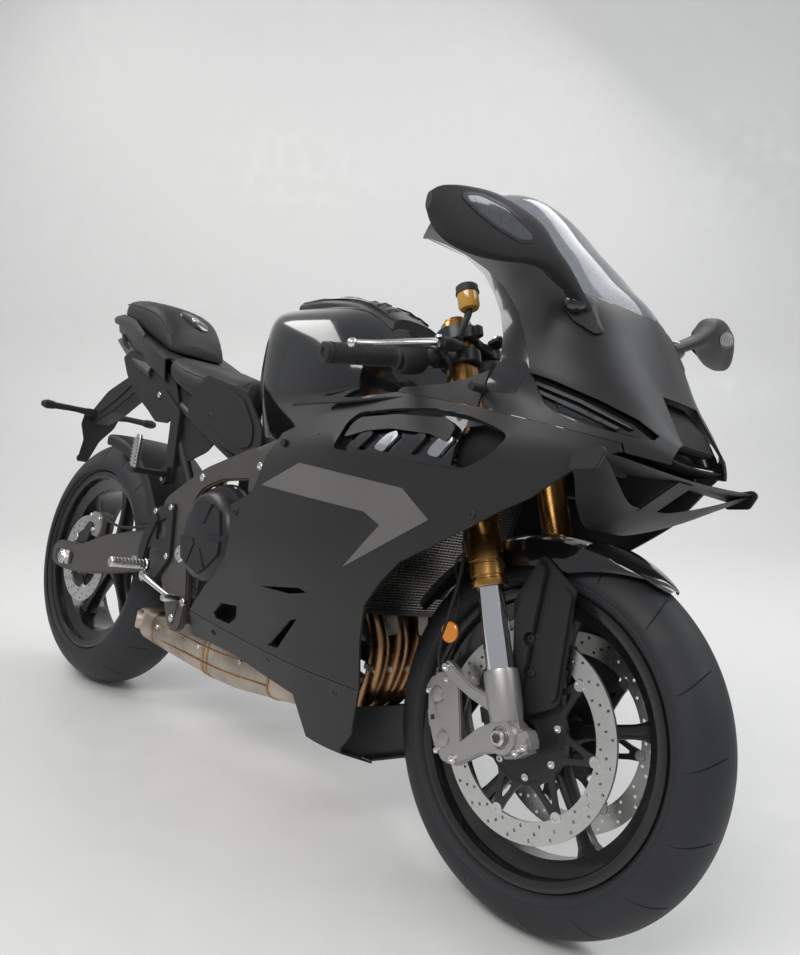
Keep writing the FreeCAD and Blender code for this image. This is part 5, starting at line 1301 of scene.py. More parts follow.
def hoses():
    """Braided hoses from the right lever to both calipers, with crimped ends."""
    top = 444.2
    low = [(-33, 114, 300), (-120, 104, 150), (-140, 74, 112), (-140, 74, 97)]
    right = [(27, -188, 602), (20, -160, 575), (-38, -128, 540), (-38, -122, top)]
    right += [(x, -y, z) for x, y, z in low]
    left = [(-38, -122, top), (-38, 0, top - 2), (-38, 122, top)] + low
    piece("brake_hose_right", "rubber", tube(right, 3.3, 12, 8), **ON_FORK, nodes=["brake_hoses"])
    piece("brake_hose_left", "rubber", tube(left, 3.3, 12, 8), **ON_FORK, nodes=["brake_hoses"])
    ends = []
    for s in (1, -1):
        ends.append(upright(lathe([(0, 84), (4.6, 84), (5.2, 86), (5.2, 104), (0, 104)], 16), -140, s * 74,
                            0))
        banjo = lathe([(0, 78), (6, 78), (7, 79), (7, 84), (0, 84)], 6)
        ends.append(upright(banjo, -140, s * 74, 0))
        ends.append(upright(lathe([(0, 290), (5.6, 290), (5.6, 308), (0, 308)], 12), -33, s * 114, 0))
    piece("hose_ends", "bright", *ends, **ON_FORK)


hoses()


def dash():
    """Display on its stay between the cowl's sides, with the stay's tubes."""
    screen_face = [(-157, 1001), (-146, 1008), (-93, 938), (-104, 931)]
    piece("dash_case", "moulded", slab(ahead(screen_face), -64, 64, 3), nodes=["fairing_stay"])
    face = ahead([(-159.4, 1000), (-158.2, 1001), (-106, 933), (-107.2, 932)])
    piece("dash_glass", "gloss", slab(face, -58, 58, 0.4))
    bars_list = [tube([(FX - 74, s * 250, 802), (FX - 74, s * 120, 802), (FX - 74, 0, 802)], 7, 12, 2)
                 for s in (1, -1)]
    arms = [tube([(FX - 74, s * 70, 802), (FX - 10, s * 96, 958)], 6, 12, 2) for s in (1, -1)]
    risers = [tube([(FX - 74, s * 44, 802), (FX - 99, s * 44, 936)], 6, 12, 2) for s in (1, -1)]
    back, w = -28.5, 560
    start = (FX + (back + 34) * math.cos(RAKE) - w * math.sin(RAKE), 0,
             FZ + (back + 34) * math.sin(RAKE) + w * math.cos(RAKE))
    beam = tube([start, (FX - 74, 0, 802)], 9, 16, 2)
    piece("fairing_stay_tubes", "satin", *bars_list, *arms, *risers, beam, nodes=["fairing_stay"])


dash()


# Tank, seats, tail and plate hanger

TANK = [
    (572, [(50, 800), (60, 822), (60, 920), (46, 944), (0, 952)]),
    (600, [(76, 760), (80, 815), (78, 925), (56, 960), (0, 968)]),
    (680, [(100, 690), (134, 806), (128, 922), (80, 966), (0, 984)]),
    (860, [(100, 690), (148, 800), (138, 904), (82, 966), (0, 986)]),
    (960, [(100, 765), (132, 810), (120, 880), (70, 930), (0, 942)]),
]
TANK_COVER = [
    (650, [(40, 960), (56, 960), (54, 984), (30, 990), (0, 992)]),
    (760, [(60, 966), (74, 966), (70, 988), (40, 996), (0, 998)]),
    (870, [(60, 962), (76, 962), (70, 980), (42, 990), (0, 994)]),
    (958, [(50, 930), (64, 930), (58, 948), (36, 956), (0, 958)]),
]
RIDER_SEAT = [
    (262.4, [(84, 800), (112, 812), (114, 838), (84, 852), (0, 856)]),
    (340, [(100, 770), (126, 786), (122, 818), (86, 836), (0, 836)]),
    (440, [(100, 742), (122, 756), (116, 800), (74, 818), (0, 818)]),
    (530, [(84, 726), (110, 738), (100, 792), (54, 812), (0, 814)]),
    (571.6, [(60, 744), (84, 756), (76, 794), (44, 808), (0, 810)]),
]
PILLION_PAD = [
    (-96, [(50, 957), (66, 966), (62, 992), (40, 1004), (0, 1008)]),
    (0, [(70, 937), (88, 948), (84, 982), (56, 999), (0, 1004)]),
    (110, [(78, 898), (90, 912), (84, 958), (58, 978), (0, 984)]),
    (172, [(76, 875.7), (82, 888), (76, 914), (52, 934), (0, 940)]),
    (196, [(70, 866.9), (78, 872), (70, 882), (44, 892), (0, 896)]),
]
TAIL = [
    (-118, [(20, 900), (60, 920), (70, 960), (66, 962), (0, 958)]),
    (0, [(40, 850), (84, 880), (100, 936), (90, 938), (0, 928)]),
    (150, [(60, 800), (110, 830), (122, 880), (110, 886), (0, 878)]),
    (262, [(74, 764), (118, 790), (128, 838), (118, 844), (0, 838)]),
]


CAP_X = 766


def scaled_ends(grid, steps, amount):
    """The end sections drawn in, so that a body closes on a rounded edge."""
    out = grid.copy()
    rows = len(grid)
    for i in range(steps):
        t = 1 - i / steps
        shrink = 1 - amount * t * t
        for row in (i, rows - 1 - i):
            middle = grid[row].mean(axis=0)
            out[row] = middle + (grid[row] - middle) * (1, shrink, shrink)
    return out


def tank():
    """Tank with a knee hollow on each side, its ribbed cover and the fuel cap."""
    grid = table_grid(TANK, 8, 6, crisp=(0,), crisp_stations=(1,), origin=0)
    body = raw("tank_shell", closed_body(scaled_ends(grid, 3, 0.06)))
    cover = closed_body(table_grid(TANK_COVER, 8, 5, crisp=(0, 1), origin=0))
    carve(body, cover)
    # a long hollow along each flank for the knee
    for s in (1, -1):
        hollow = []
        for x, z, r in ((590, 800, 30), (640, 796, 60), (720, 790, 74), (800, 786, 60), (850, 784, 20)):
            hollow.append([(x, s * (176 + r * 0.42 * math.cos(a)), z + r * math.sin(a))
                           for a in (2 * math.pi * j / 20 for j in range(20))])
        carve(body, loops_body(hollow))
    settle(body, "gloss", nodes=["tank"], angle=38)
    piece("tank_top", "satin", cover, nodes=["tank_cover"])
    ribs = []
    for s in (1, -1):
        for k in range(9):
            x = 668 + 30 * k
            if 722 < x < 812:
                continue
            top = float(np.interp(x, [650, 760, 870, 958], [990.5, 996.5, 992.5, 956.5]))
            ribs.append(loops_body([
                [(x + step + a, s * y, top + b) for a, b in ((0, low), (3, low), (3, high), (0, high))]
                for step, y, low, high in ((2, 8, 1, 3.6), (12, 36, -2, 1.6), (18, 58, -11, -7))]))
    edge = []
    for s in (1, -1):
        edge.append(tube([(655, s * 50, 988), (760, s * 66, 992), (870, s * 68, 985), (950, s * 58, 950)],
                         2.2, 8, 6))
    piece("tank_top_ribs", "gloss", *ribs, *edge)
    cap = lathe([(0, 1009), (22, 1009), (24, 1007.5), (30, 1007), (33, 1005), (33, 1003), (38, 1002.5),
                 (40, 1000),
                 (40, 990), (0, 990)], 48)
    piece("fuel_cap", "satin", upright(cap, CAP_X, 0, 0))
    screws = [upright(shifted(bolt(3, 2), 0, 1003, 0), CAP_X + 36 * math.cos(a), 36 * math.sin(a), 0)
              for a in (math.pi / 3.5 * k for k in range(7))]
    piece("fuel_cap_screws", "bright", *screws)
    flap = upright(lathe([(0, 1011), (7, 1011), (8, 1009.5), (8, 1008), (0, 1008)], 20), 760, 0, 0)
    piece("fuel_cap_lock", "bright", flap)


tank()


def soft_grid(table, seams, crown):
    """A padded form: smooth sections, a crown between its seams and fine creases."""
    grid = table_grid(table, 14, 9, crisp=(0,), origin=0)
    grid = scaled_ends(grid, 5, 0.16)
    rows, cols = grid.shape[:2]
    n = grid_normals(grid)
    for i in range(rows):
        for j in range(cols):
            x, y = grid[i, j][:2]
            top = max(0.0, n[i, j][2])
            lift = crown * top
            for seam in seams:
                lift -= 2.6 * math.exp(-((x - seam[0] - seam[1] * abs(y)) / 3.2) ** 2) * (0.3 + 0.7 * top)
            lift += 0.5 * math.sin(x * 0.21 + y * 0.13) * math.sin(y * 0.17 - x * 0.07) * top
            grid[i, j] += n[i, j] * lift
    return grid


RIDER_PIPING = [(272, 113, 838), (340, 123.5, 819), (440, 117.5, 801), (530, 101, 793), (566, 79, 793)]
PILLION_PIPING = [(-90, 63, 993), (0, 85.5, 983), (110, 85.5, 959), (168, 78, 918)]


def seats():
    """Padded seats, their piping, and the oval panel and lock on the pillion pad's front slope."""
    rider = closed_body(soft_grid(RIDER_SEAT, [(300, -0.15), (540, 0.2)], 3.0))
    obj = piece("rider_seat_cover", "cover", rider, nodes=["rider_seat"], angle=60)
    pad = closed_body(soft_grid(PILLION_PAD, [(-60, 0.2), (118, -0.25)], 3.0))
    obj = piece("pillion_seat_cover", "cover", pad, nodes=["pillion_pad"], angle=60)
    # piping along both edges, the oval panel on the front slope and its lock
    piping = []
    for s in (1, -1):
        for line in (RIDER_PIPING, PILLION_PIPING):
            piping.append(tube([(x, s * y, z) for x, y, z in line], 1.6, 6, 8))
    piece("seat_piping", "rubber", *piping)
    normal = Vector((35, 0, 44)).normalized()
    oval = lathe([(0, 2), (26, 2), (29, 0.8), (30, -2), (0, -2)], 40)
    stretched = [(x * 0.82, y, z * 1.35) for x, y, z in oval[0]], oval[1]
    piece("pillion_panel", "gloss", aimed(stretched, (152, 0, 962), normal))
    lock = lathe([(0, 3), (3, 3), (3.5, 4.4), (9, 4.4), (10, 3), (10, 0), (0, 0)], 24)
    piece("seat_lock", "bright", aimed(lock, Vector((152, 0, 962)) + normal * 2, normal))


seats()


TAIL_BLADES = {
    "upper": [
        [(-140, 64, 962), (-134, 74, 950), (-126, 70, 938), (-128, 60, 948)],
        [(-60, 82, 962), (-56, 92, 946), (-50, 86, 926), (-56, 76, 940)],
        [(30, 96, 944), (34, 106, 924), (40, 100, 900), (32, 88, 920)],
        [(120, 112, 905), (124, 119, 886), (128, 114, 868), (122, 104, 884)],
    ],
    "lower": [
        [(-122, 50, 906), (-116, 62, 896), (-110, 58, 888), (-114, 48, 896)],
        [(-30, 78, 890), (-26, 90, 874), (-20, 84, 858), (-26, 72, 872)],
        [(70, 98, 856), (74, 110, 838), (80, 104, 820), (72, 92, 836)],
        [(180, 112, 822), (184, 120, 806), (190, 116, 792), (184, 104, 806)],
    ],
}
TAIL_SIDE = [(24, 842), (60, 796), (120, 750), (190, 716), (236, 690), (296, 690), (330, 742), (300, 790),
             (252, 812),
             (150, 838), (60, 862)]


def tail():
    """Tail cowl with its stacked side blades, lamp, and the inner guard below."""
    grid = table_grid(TAIL, 10, 6, crisp=(1, 2, 3), origin=0)
    piece("tail_skin", "matte", skin(grid, 0, 4), nodes=["tail_cowl"])
    for name, s in SIDES:
        for place, loops in TAIL_BLADES.items():
            blade = loops_body([[(x, s * y, z) for x, y, z in loop] for loop in loops], 1.5)
            piece(f"tail_blade_{place}_{name}", "matte", blade)
        side = round_outline(TAIL_SIDE, 8, 3)
        piece(f"tail_side_{name}", "moulded", side_slab(side, s, 104, 108, 1))
        grab = tube([(-60, s * 74, 905), (-20, s * 84, 880), (60, s * 92, 846)], 6, 12, 5)
        piece(f"tail_inner_{name}", "dark", grab)
    lamp = round_outline([(-52, 926), (52, 926), (58, 950), (40, 954), (-40, 954), (-58, 950)], 6, 3)
    piece("tail_lamp_red", "red", front_slab(lamp, -123.6, -114, 1.5), nodes=["tail_lamp"])
    ribs = [front_slab([(y, 930), (y + 2, 930), (y + 2, 950), (y, 950)], -124.4, -123)
            for y in range(-46, 47, 10)]
    piece("tail_lamp_ribs", "red", *ribs)
    under = loops_body([
        [(-96, -40, 884), (-96, 40, 884), (-96, 34, 896), (-96, -34, 896)],
        [(0, -52, 842), (0, 52, 842), (0, 46, 852), (0, -46, 852)],
        [(120, -62, 792), (120, 62, 792), (120, 58, 800), (120, -58, 800)],
        [(250, -70, 742), (250, 70, 742), (250, 66, 750), (250, -66, 750)],
    ], 2)
    piece("tail_under_tray", "moulded", under)


tail()


PLATE_ARM = [(-20, 842), (30, 846), (60, 820), (-20, 774), (-150, 700), (-250, 660), (-262, 700), (-190, 760),
             (-90, 804)]
PLATE_WEB = [(-40, 830), (-150, 762), (-230, 712), (-210, 696), (-130, 736), (-30, 800)]


def plate_hanger():
    """Hanger arm, blank plate board, indicators on stalks and the plate light."""
    piece("plate_arm", "moulded", slab(round_outline(PLATE_ARM, 12, 3), -24, 24, 4), nodes=["plate_hanger"])
    webs = [side_slab(round_outline(PLATE_WEB, 6), s, 23, 27, 1) for s in (1, -1)]
    piece("plate_arm_webs", "moulded", *webs)
    board = loops_body([
        [(-238, -54, 700), (-238, 54, 700), (-231, 54, 703), (-231, -54, 703)],
        [(-262, -50, 656), (-262, 50, 656), (-255, 50, 659), (-255, -50, 659)],
        [(-284, -24, 612), (-284, 24, 612), (-277, 24, 615), (-277, -24, 615)],
        [(-318, -16, 548), (-318, 16, 548), (-311, 16, 551), (-311, -16, 551)],
    ], 2)
    piece("plate_board", "moulded", board)
    light = loops_body([
        [(-262, -18, 706), (-262, 18, 706), (-240, 18, 712), (-240, -18, 712)],
        [(-268, -16, 690), (-268, 16, 690), (-246, 16, 694), (-246, -16, 694)],
    ], 3)
    piece("plate_light", "white", light)
    for name, s in SIDES:
        stalk = tube([(-236, s * 22, 690), (-242, s * 80, 693), (-249, s * 140, 692)], [11, 8, 9], 14, 5)
        piece(f"indicator_stalk_{name}", "rubber", stalk)
        shape = []
        for y, wide, tall in ((134, 8, 7), (142, 13, 11), (160, 15, 12.5), (170, 13, 9), (174, 8, 5)):
            shape.append([(-252 + wide * a, s * y, 692 + tall * b) for a, b in rounded_loop(20, 0.7)])
        body = raw(f"indicator_{name}", loops_body(shape))
        carve(body, side_slab([(-262, 684), (-270, 684), (-270, 700), (-262, 700)], s, 142, 168))
        settle(body, "moulded")
        lens = round_outline([(-261.5, 684.5), (-266, 685), (-266, 699), (-261.5, 699.5)], 2)
        piece(f"indicator_lens_{name}", "indicator", side_slab(lens, s, 142.5, 167.5, 1))
    reflector = front_slab(round_outline([(-15, 552), (15, 552), (15, 566), (-15, 566)], 4, 3), -323, -316, 1)
    piece("rear_reflector", "red", reflector)


plate_hanger()


KNEE_PANEL = [(436, 740), (492, 806), (560, 794), (650, 778), (728, 706), (738, 652), (668, 640), (600, 656),
              (505, 680),
              (452, 704)]
KNEE_STEP = [(470, 742), (520, 784), (600, 776), (650, 762), (702, 706), (706, 664), (662, 656), (600, 676),
             (520, 700)]
# X, then Y and Z across the dark panel between tank and side panel, and across its label
INNER_PANEL = [
    (868, [(172, 770), (184, 762), (196, 754)]), (960, [(184, 775), (198, 767), (212, 760)]),
    (1060, [(190, 781), (206, 774), (222, 768)]), (1158, [(194, 788), (208, 784), (222, 780)]),
    (1250, [(188, 802), (204, 794), (222, 784)]), (1334, [(182, 816), (200, 806), (214, 790)]),
]
LABEL = [(1070, [(193, 780), (201, 776.5), (209, 773)]), (1170, [(196, 788), (204, 785.5), (212, 783)])]


def knee_panels():
    """Knee panels on the frame, dark inner panels and a blank label."""
    for name, s in SIDES:
        panel_edge, step = round_outline(KNEE_PANEL, 16, 4), round_outline(KNEE_STEP, 18, 4)
        piece(f"knee_panel_{name}", "matte", side_slab(panel_edge, s, 146.5, 151.5, 1.2),
              nodes=["knee_panels"])
        piece(f"knee_step_{name}", "matte", side_slab(step, s, 151, 154.5, 1.5))
        piece(f"knee_bolt_{name}", "satin", set_on(bolt(7, 4), s, 540, 151.5, 716))
        grid = table_grid([(x - FX, half) for x, half in INNER_PANEL], 5, 4, whole=False)
        piece(f"inner_panel_{name}", "inner", sided(skin(grid, 0, 3), s))
    grid = table_grid([(x - FX, half) for x, half in LABEL], 3, 3, whole=False)
    label = skin(grid + np.array((0, 0, 3.4)), 0.4, 0.4)
    piece("blank_label", "white", flipped(label))


knee_panels()


# Frame, engine, exhaust, swingarm and what hangs on them

def skin_y(grid, x, z):
    """The half width of a skin at a place seen from the side."""
    flat = grid.reshape(-1, 3)
    flat = flat[flat[:, 1] > 40]
    near = np.argsort((flat[:, 0] - x) ** 2 + (flat[:, 2] - z) ** 2)[:4]
    return float(flat[near, 1].mean())


def panel_bolts():
    """Heads of the screws that hold the side panels."""
    heads = []
    for x, z in ahead([(-643, 536), (-707, 289), (-511, 287), (-323, 277), (-50, 617), (-420, 700)]):
        y = skin_y(lower_grid, x, z)
        for s in (1, -1):
            heads.append(set_on(bolt(6.5, 3), s, x, y - 0.6, z))
    piece("panel_bolts", "satin", *heads)



panel_bolts()


# the frame's side plate in XZ, and rows of X, near and far Y, low and high Z along its spar
PIVOT_PLATE = [
    (440, 522), (574, 605), (740, 668), (790, 650), (790, 606), (650, 588), (582, 560), (545, 500), (545, 452),
    (575, 410), (600, 330), (590, 256), (545, 256), (500, 330), (462, 390),
]
SPAR = [(740, 126, 168, 570, 668), (800, 128, 169, 590, 690), (940, 132, 172, 640, 740),
        (1060, 84, 124, 706, 800)]
RADIATOR_LUG = [(-390, 668), (-371, 700), (-352, 690), (-300, 686), (-300, 665), (-340, 690)]
ARM_PIVOT_X, ARM_PIVOT_Z = 548, 418
HEAD_X = FX + STEM_X * math.cos(RAKE) - 558 * math.sin(RAKE)
HEAD_Z = FZ + STEM_X * math.sin(RAKE) + 558 * math.cos(RAKE)


def make_frame():
    """Pivot plates and spars, head tube, cross tubes, bolts and stays."""
    rows = smooth_line(SPAR + [(HEAD_X - 30, 22, 62, HEAD_Z - 66, HEAD_Z + 14)], 4)
    parts = []
    for s in (1, -1):
        parts.append(side_slab(round_outline(PIVOT_PLATE, 22, 4), s, 152, 168, 4))
        loops = []
        for x, near, far, low, high in rows:
            y, z, w, h = (near + far) / 2, (low + high) / 2, (far - near) / 2, (high - low) / 2
            loops.append([(x, s * (y + w * a), z + h * b) for a, b in rounded_loop(24, 0.45)])
        parts.append(loops_body(loops))
    parts.append(across([(HEAD_X - 60, HEAD_Z - 60), (HEAD_X - 20, HEAD_Z - 60), (HEAD_X - 20, HEAD_Z + 14),
                         (HEAD_X - 60, HEAD_Z + 14)], 62, 6))
    parts.append(shifted(lathe([(0, -156), (13, -156), (13, 156), (0, 156)], 24), 522, 0, 550))
    parts.append(across([(712, 655), (756, 655), (756, 689.7), (712, 689.7)], 132, 3))
    piece("frame_cast", "frame", *parts, nodes=["frame"], angle=40)
    head = lathe([(15.2, 478.5), (34, 478.5), (35, 482), (35, 496), (33, 500), (33, 616), (35, 620),
                  (35, 634), (34, 637.5),
                  (15.2, 637.5)], 40, closed=True)
    piece("head_tube", "frame", upright(head, STEM_X, 0, 0), frame=FORK)
    rib = round_outline([(560, 330), (572, 320), (566, 270), (556, 268)], 3)
    cap = lathe([(0, 3), (8, 3), (9, 5), (16, 5), (19, 3), (20, 0), (0, 0)], 32)
    caps = [set_on(cap, s, ARM_PIVOT_X, 168.2, ARM_PIVOT_Z) for s in (1, -1)]
    piece("pivot_caps", "bright", *caps, nodes=["pivot_bolt"])
    piece("frame_ribs", "frame", *[side_slab(rib, s, 167.5, 169.5) for s in (1, -1)])
    heads = [set_on(bolt(8, 5), s, x, 168, z)
             for s in (1, -1) for x, z in ((592, 322), (560, 282), (770, 630), (580, 585))]
    piece("frame_bolts", "bright", *heads)
    stays = []
    for s in (1, -1):
        stays.append(side_slab(round_outline(ahead(RADIATOR_LUG), 4), s, 120, 130, 1))
        stays.append(tube([(FX - 520, s * 150, 680), (FX - 520, s * 226, 680)], 7, 14, 2))
    pin = lathe([(0, -34), (14, -34), (14, -7.3), (6, -7.3), (6, 7.3), (11, 7.3), (11, 12), (0, 12)], 24)
    piece("frame_stays", "satin", *stays, aimed(pin, STAND_PIVOT, STAND_AXIS))


# the side stand's hinge and foot, and the leg's direction when it is folded
STAND_PIVOT, STAND_FOOT = Vector((560, 185, 285)), Vector((618, 318, 68.3))
STAND_FOLDED = Vector((-0.985, 0.12, -0.12)).normalized()
STAND_ALONG = (STAND_FOOT - STAND_PIVOT).normalized()
STAND_AXIS = STAND_ALONG.cross(STAND_FOLDED).normalized()


make_frame()


def spring(start, along, length, radius, turns, steps, wire, sides):
    """A coil of wire round an axis."""
    side = along.orthogonal().normalized()
    other = along.cross(side)
    coil = []
    for k in range(turns * steps + 1):
        a = 2 * math.pi * k / steps
        coil.append(start + along * (length * k / (turns * steps)) + side * (radius * math.cos(a))
                    + other * (radius * math.sin(a)))
    return tube(coil, wire, sides, 1)


def side_stand():
    """Leg with its hinge lug and foot, and the spring beside it."""
    pivot, foot, along, axis = STAND_PIVOT, STAND_FOOT, STAND_ALONG, STAND_AXIS
    up = Vector((0, -math.sin(LEAN), math.cos(LEAN)))
    leg = tube([pivot + along * 14, pivot + (foot - pivot) * 0.5, foot + up * 6], [11.5, 11, 10.5, 11.5], 20,
               6)
    lug = lathe([(6.4, -7), (16.5, -7), (17, -6), (17, 6), (16.5, 7), (6.4, 7)], 32, closed=True)
    pad = aimed(lathe([(0, 0.2), (23, 0.2), (24, 1.5), (24, 5.5), (22, 7), (12, 8.5), (0, 9)], 36), foot, up)
    piece("side_stand_leg", "satin", leg, aimed(lug, pivot, axis), pad, body="side_stand",
          nodes=["side_stand"])
    start, end = pivot + along * 26 + axis * 13, pivot + along * 100 + axis * 10
    coil = spring(start, (end - start).normalized(), (end - start).length, 5, 16, 12, 1.2, 6)
    piece("side_stand_spring", "chain", coil, body="side_stand")


side_stand()


CLUTCH_X, CLUTCH_Z = 664, 480
DOME_X, DOME_Z = 660, 472
GENERATOR_X, GENERATOR_Z = 790, 430
# radius, then Y out from the bike's middle
CLUTCH_BASE = [(0, -140.3), (101, -140.3), (103, -143), (103, -150), (99, -153), (98, -166), (96, -170),
               (0, -170)]
CLUTCH_DOME = [(93, -168), (92, -184), (88, -192), (78, -199), (60, -203), (0, -204)]
GENERATOR = [(0, 140.3), (72, 140.3), (73, 143), (73, 154), (69, 158), (56, 160), (54, 164), (48, 166.5),
             (30, 168), (0, 168)]


def bolt_ring(count, radius, x, z, s, y, head):
    """Bolts evenly round a cover."""
    angles = [2 * math.pi * k / count for k in range(count)]
    return [set_on(head, s, x + radius * math.cos(a), y, z + radius * math.sin(a)) for a in angles]


def engine():
    """Clutch and generator covers with their bolts, cooling ribs and oil filter."""
    base = shifted(lathe(CLUTCH_BASE, 72), CLUTCH_X, 0, CLUTCH_Z)
    dome = shifted(lathe(CLUTCH_DOME, 60), DOME_X, 0, DOME_Z)
    piece("clutch_cover", "satin", base, dome, nodes=["engine_covers"])
    facets = []
    for start in (15, 75, 195, 250, 310):
        ring = [(DOME_X + r * math.cos(math.radians(a)), DOME_Z + r * math.sin(math.radians(a)))
                for r, a in ((24, start), (24, start + 38), (72, start + 50), (78, start + 30),
                             (72, start - 6))]
        facets.append(side_slab(ring, -1, 196, 205.5, 2))
    piece("clutch_cover_facets", "satin", *facets)
    heads = bolt_ring(9, 97, CLUTCH_X, CLUTCH_Z, -1, 152, bolt(5.5, 5))
    heads += bolt_ring(7, 64, GENERATOR_X, GENERATOR_Z, 1, 157.5, bolt(5, 4))
    piece("engine_bolts", "bright", *heads)
    generator = shifted(lathe(GENERATOR, 60), GENERATOR_X, 0, GENERATOR_Z)
    piece("generator_cover", "engine", generator, nodes=["engine_covers"])
    ribs = [side_slab([(x, 330), (x + 8, 330), (x + 8, 540), (x, 540)], s, 139, 143, 1)
            for s in (1, -1) for x in range(730, 946, 36)]
    ribs += [across([(768, z), (962, z), (962, z + 4), (768, z + 4)], 94, 0.8) for z in range(568, 658, 18)]
    oil = lathe([(0, 0), (36, 0), (37, -2), (37, -44), (33, -52), (20, -54), (0, -54)], 36)
    piece("engine_ribs", "engine", *ribs)
    piece("oil_filter", "satin", aimed(oil, (984, -40, 380), (-1, 0, 0)))


engine()


# X, outer Y, Z, inner Y and the rise towards it
HEADER_SHIELD = [(1046, 66, 520, 30, 6), (1052, 64, 440, 30, 6), (1076, 50, 372, 26, 4)]
# X, middle Y, half width, middle Z, half height
CAN = [(350, -96, 26, 238, 24), (372, -70, 55, 232, 36), (400, -45, 84, 230, 40), (550, -34, 96, 229, 50),
       (700, -25, 104, 228.5, 56), (820, -20, 94, 230, 48), (900, -15, 84, 232.5, 42),
       (958, 0, 60, 233.5, 28)]


def exhaust():
    """Three headers into a collector, and the silencer box with its seams."""
    pipes, flanges = [], []
    for y in (-62, 0, 62):
        route = [(962, y, 600), (1006, y, 600), (1024, y, 520), (1030, y, 430), (1062, y * 0.8, 350),
                 (1050, y * 0.65, 270),
                 (1020, y * 0.55, 236), (958.3, y * 0.55, 232)]
        pipes.append(tube(route, 18.6, 24, 7))
        port = lathe([(0, 0), (29, 0), (30, 1.5), (30, 7), (22, 9), (19, 14), (0, 14)], 28)
        flanges.append(aimed(port, (962, y, 600), (1, 0, 0)))
        band = lathe([(18, -3), (20.4, -3), (20.4, 3), (18, 3)], 28, closed=True)
        flanges.append(aimed(band, (1028, y, 452), (0.05, 0, -1)))
        band = lathe([(18, -5), (21, -5), (21, 5), (18, 5)], 28, closed=True)
        flanges.append(aimed(band, (1056, y * 0.72, 308), (-0.1, -0.02 * y / 62, -1)))
    piece("exhaust_pipes", "header", *pipes, nodes=["exhaust_headers"], angle=50)
    piece("exhaust_flanges", "hot_steel", *flanges)
    shields = [loops_body([[(x, s * (y + 4), z), (x + 6, s * y, z), (x + 6, s * inner, z + rise),
                            (x, s * inner, z + rise)]
                           for x, y, z, inner, rise in HEADER_SHIELD], 1) for s in (1, -1)]
    piece("header_shields", "hot_steel", *shields)
    rows = smooth_line(CAN, 5)
    loops = [[(x, y + w * a, z + h * b) for a, b in rounded_loop(40, 0.55)] for x, y, w, z, h in rows]
    piece("exhaust_can", "hot_steel", loops_body(loops), nodes=["exhaust_box"], angle=50)
    bands = []
    for x in (430, 640, 655, 840):
        y, w, z, h = min(rows, key=lambda r: abs(r[0] - x))[1:]
        bands.append(loops_body([[(x + d, y + (w + g) * a, z + (h + g) * b)
                                  for a, b in rounded_loop(40, 0.55)]
                                 for d, g in ((-4, -1), (-3, 1.2), (3, 1.2), (4, -1))]))
    for z in (214, 246):
        bands.append(tube([(372, -124, z), (550, -130.5, z - 2), (700, -129.5, z - 4), (840, -112, z)], 1.6,
                          8, 6))
    piece("exhaust_seams", "header", *bands)
    outlet = lathe([(17, 0), (21, 0), (22, -6), (21, -18), (18, -20), (17, -18)], 32, closed=True)
    piece("exhaust_outlet", "hot_steel", aimed(outlet, (366, -112, 236), (0.55, 0.83, 0)))
    places = ((452, 129, 238), (620, 129, 236), (760, 122, 240))
    screws = [set_on(bolt(5, 4), -1, x, y, z) for x, y, z in places]
    piece("exhaust_screws", "bright", *screws)


exhaust()


def radiator():
    """Core with its fins and tubes, end tanks and cap, stays and hoses."""
    low, high = Vector((FX - 324, 0, 414)), Vector((FX - 262, 0, 655))
    along = (high - low).normalized()
    out = Vector((along.z, 0, -along.x))
    outline = ahead([(-360, 424), (-326, 415), (-264, 655), (-298, 664)])
    piece("radiator_core", "dark", slab(outline, -158, 158), nodes=["radiator"])
    count = 46
    length = (high - low).length
    fins, posts = [], []
    for k in range(count):
        p = low + along * (6 + (length - 12) * k / (count - 1))
        a, b = p + out * 0.6, p - out * 2.5
        corners = (a - along * 0.9, a + along * 0.9, b + along * 0.9, b - along * 0.9)
        fins.append(across([(q.x, q.z) for q in corners], 158))
    ends = [low + along * 4 - out * 0.4, high - along * 4 - out * 0.4]
    for k in range(33):
        y = -156 + 9.75 * k
        corners = ((0, y), (0, y + 0.8), (2, y + 0.8), (2, y))
        posts.append(loops_body([[((end - out * deep).x, qy, (end - out * deep).z) for deep, qy in corners]
                                 for end in ends]))
    piece("radiator_fins", "chain", *fins, *posts)
    tanks = [side_slab(round_outline(outline, 8, 3), s, 157, 178, 5) for s in (1, -1)]
    frames = []
    for p in (low + along * 3, high - along * 3):
        corners = (p + out * 1.6 - along * 5, p + out * 1.6 + along * 5, p - out * 33 + along * 5,
                   p - out * 33 - along * 5)
        frames.append(across([(q.x, q.z) for q in corners], 168, 2))
    neck = upright(lathe([(0, 672), (16, 672), (18, 669), (18, 660), (14, 656), (0, 656)], 28), FX - 288,
                   -150, 0)
    stays = [tube([(985.3, s * 90, 436), (FX - 345, s * 90, 436)], 8, 14, 2) for s in (1, -1)]
    piece("radiator_tanks", "satin", *tanks, *frames, *stays, neck)
    hose = tube([(FX - 330, -150, 640), (FX - 372, -150, 650), (FX - 420, -120, 640), (FX - 452, -96, 636)],
                15, 18, 6)
    low_hose = tube([(FX - 350, 150, 436), (FX - 388, 148, 420), (FX - 430, 142, 408)], 14, 18, 6)
    piece("coolant_hoses", "rubber", hose, low_hose)


radiator()


# the swingarm's outer beam and inner web in XZ
BEAM = [(-78, 288), (-86, 330), (-56, 350), (62, 358), (176, 400), (330, 436), (500, 446), (562, 446),
        (574, 418),
        (552, 388), (480, 370), (379, 350), (231, 316), (100, 290), (-20, 282)]
WEB = [(130, 368), (330, 400), (498, 430), (544, 430), (544, 394), (488, 386), (330, 342), (130, 302)]


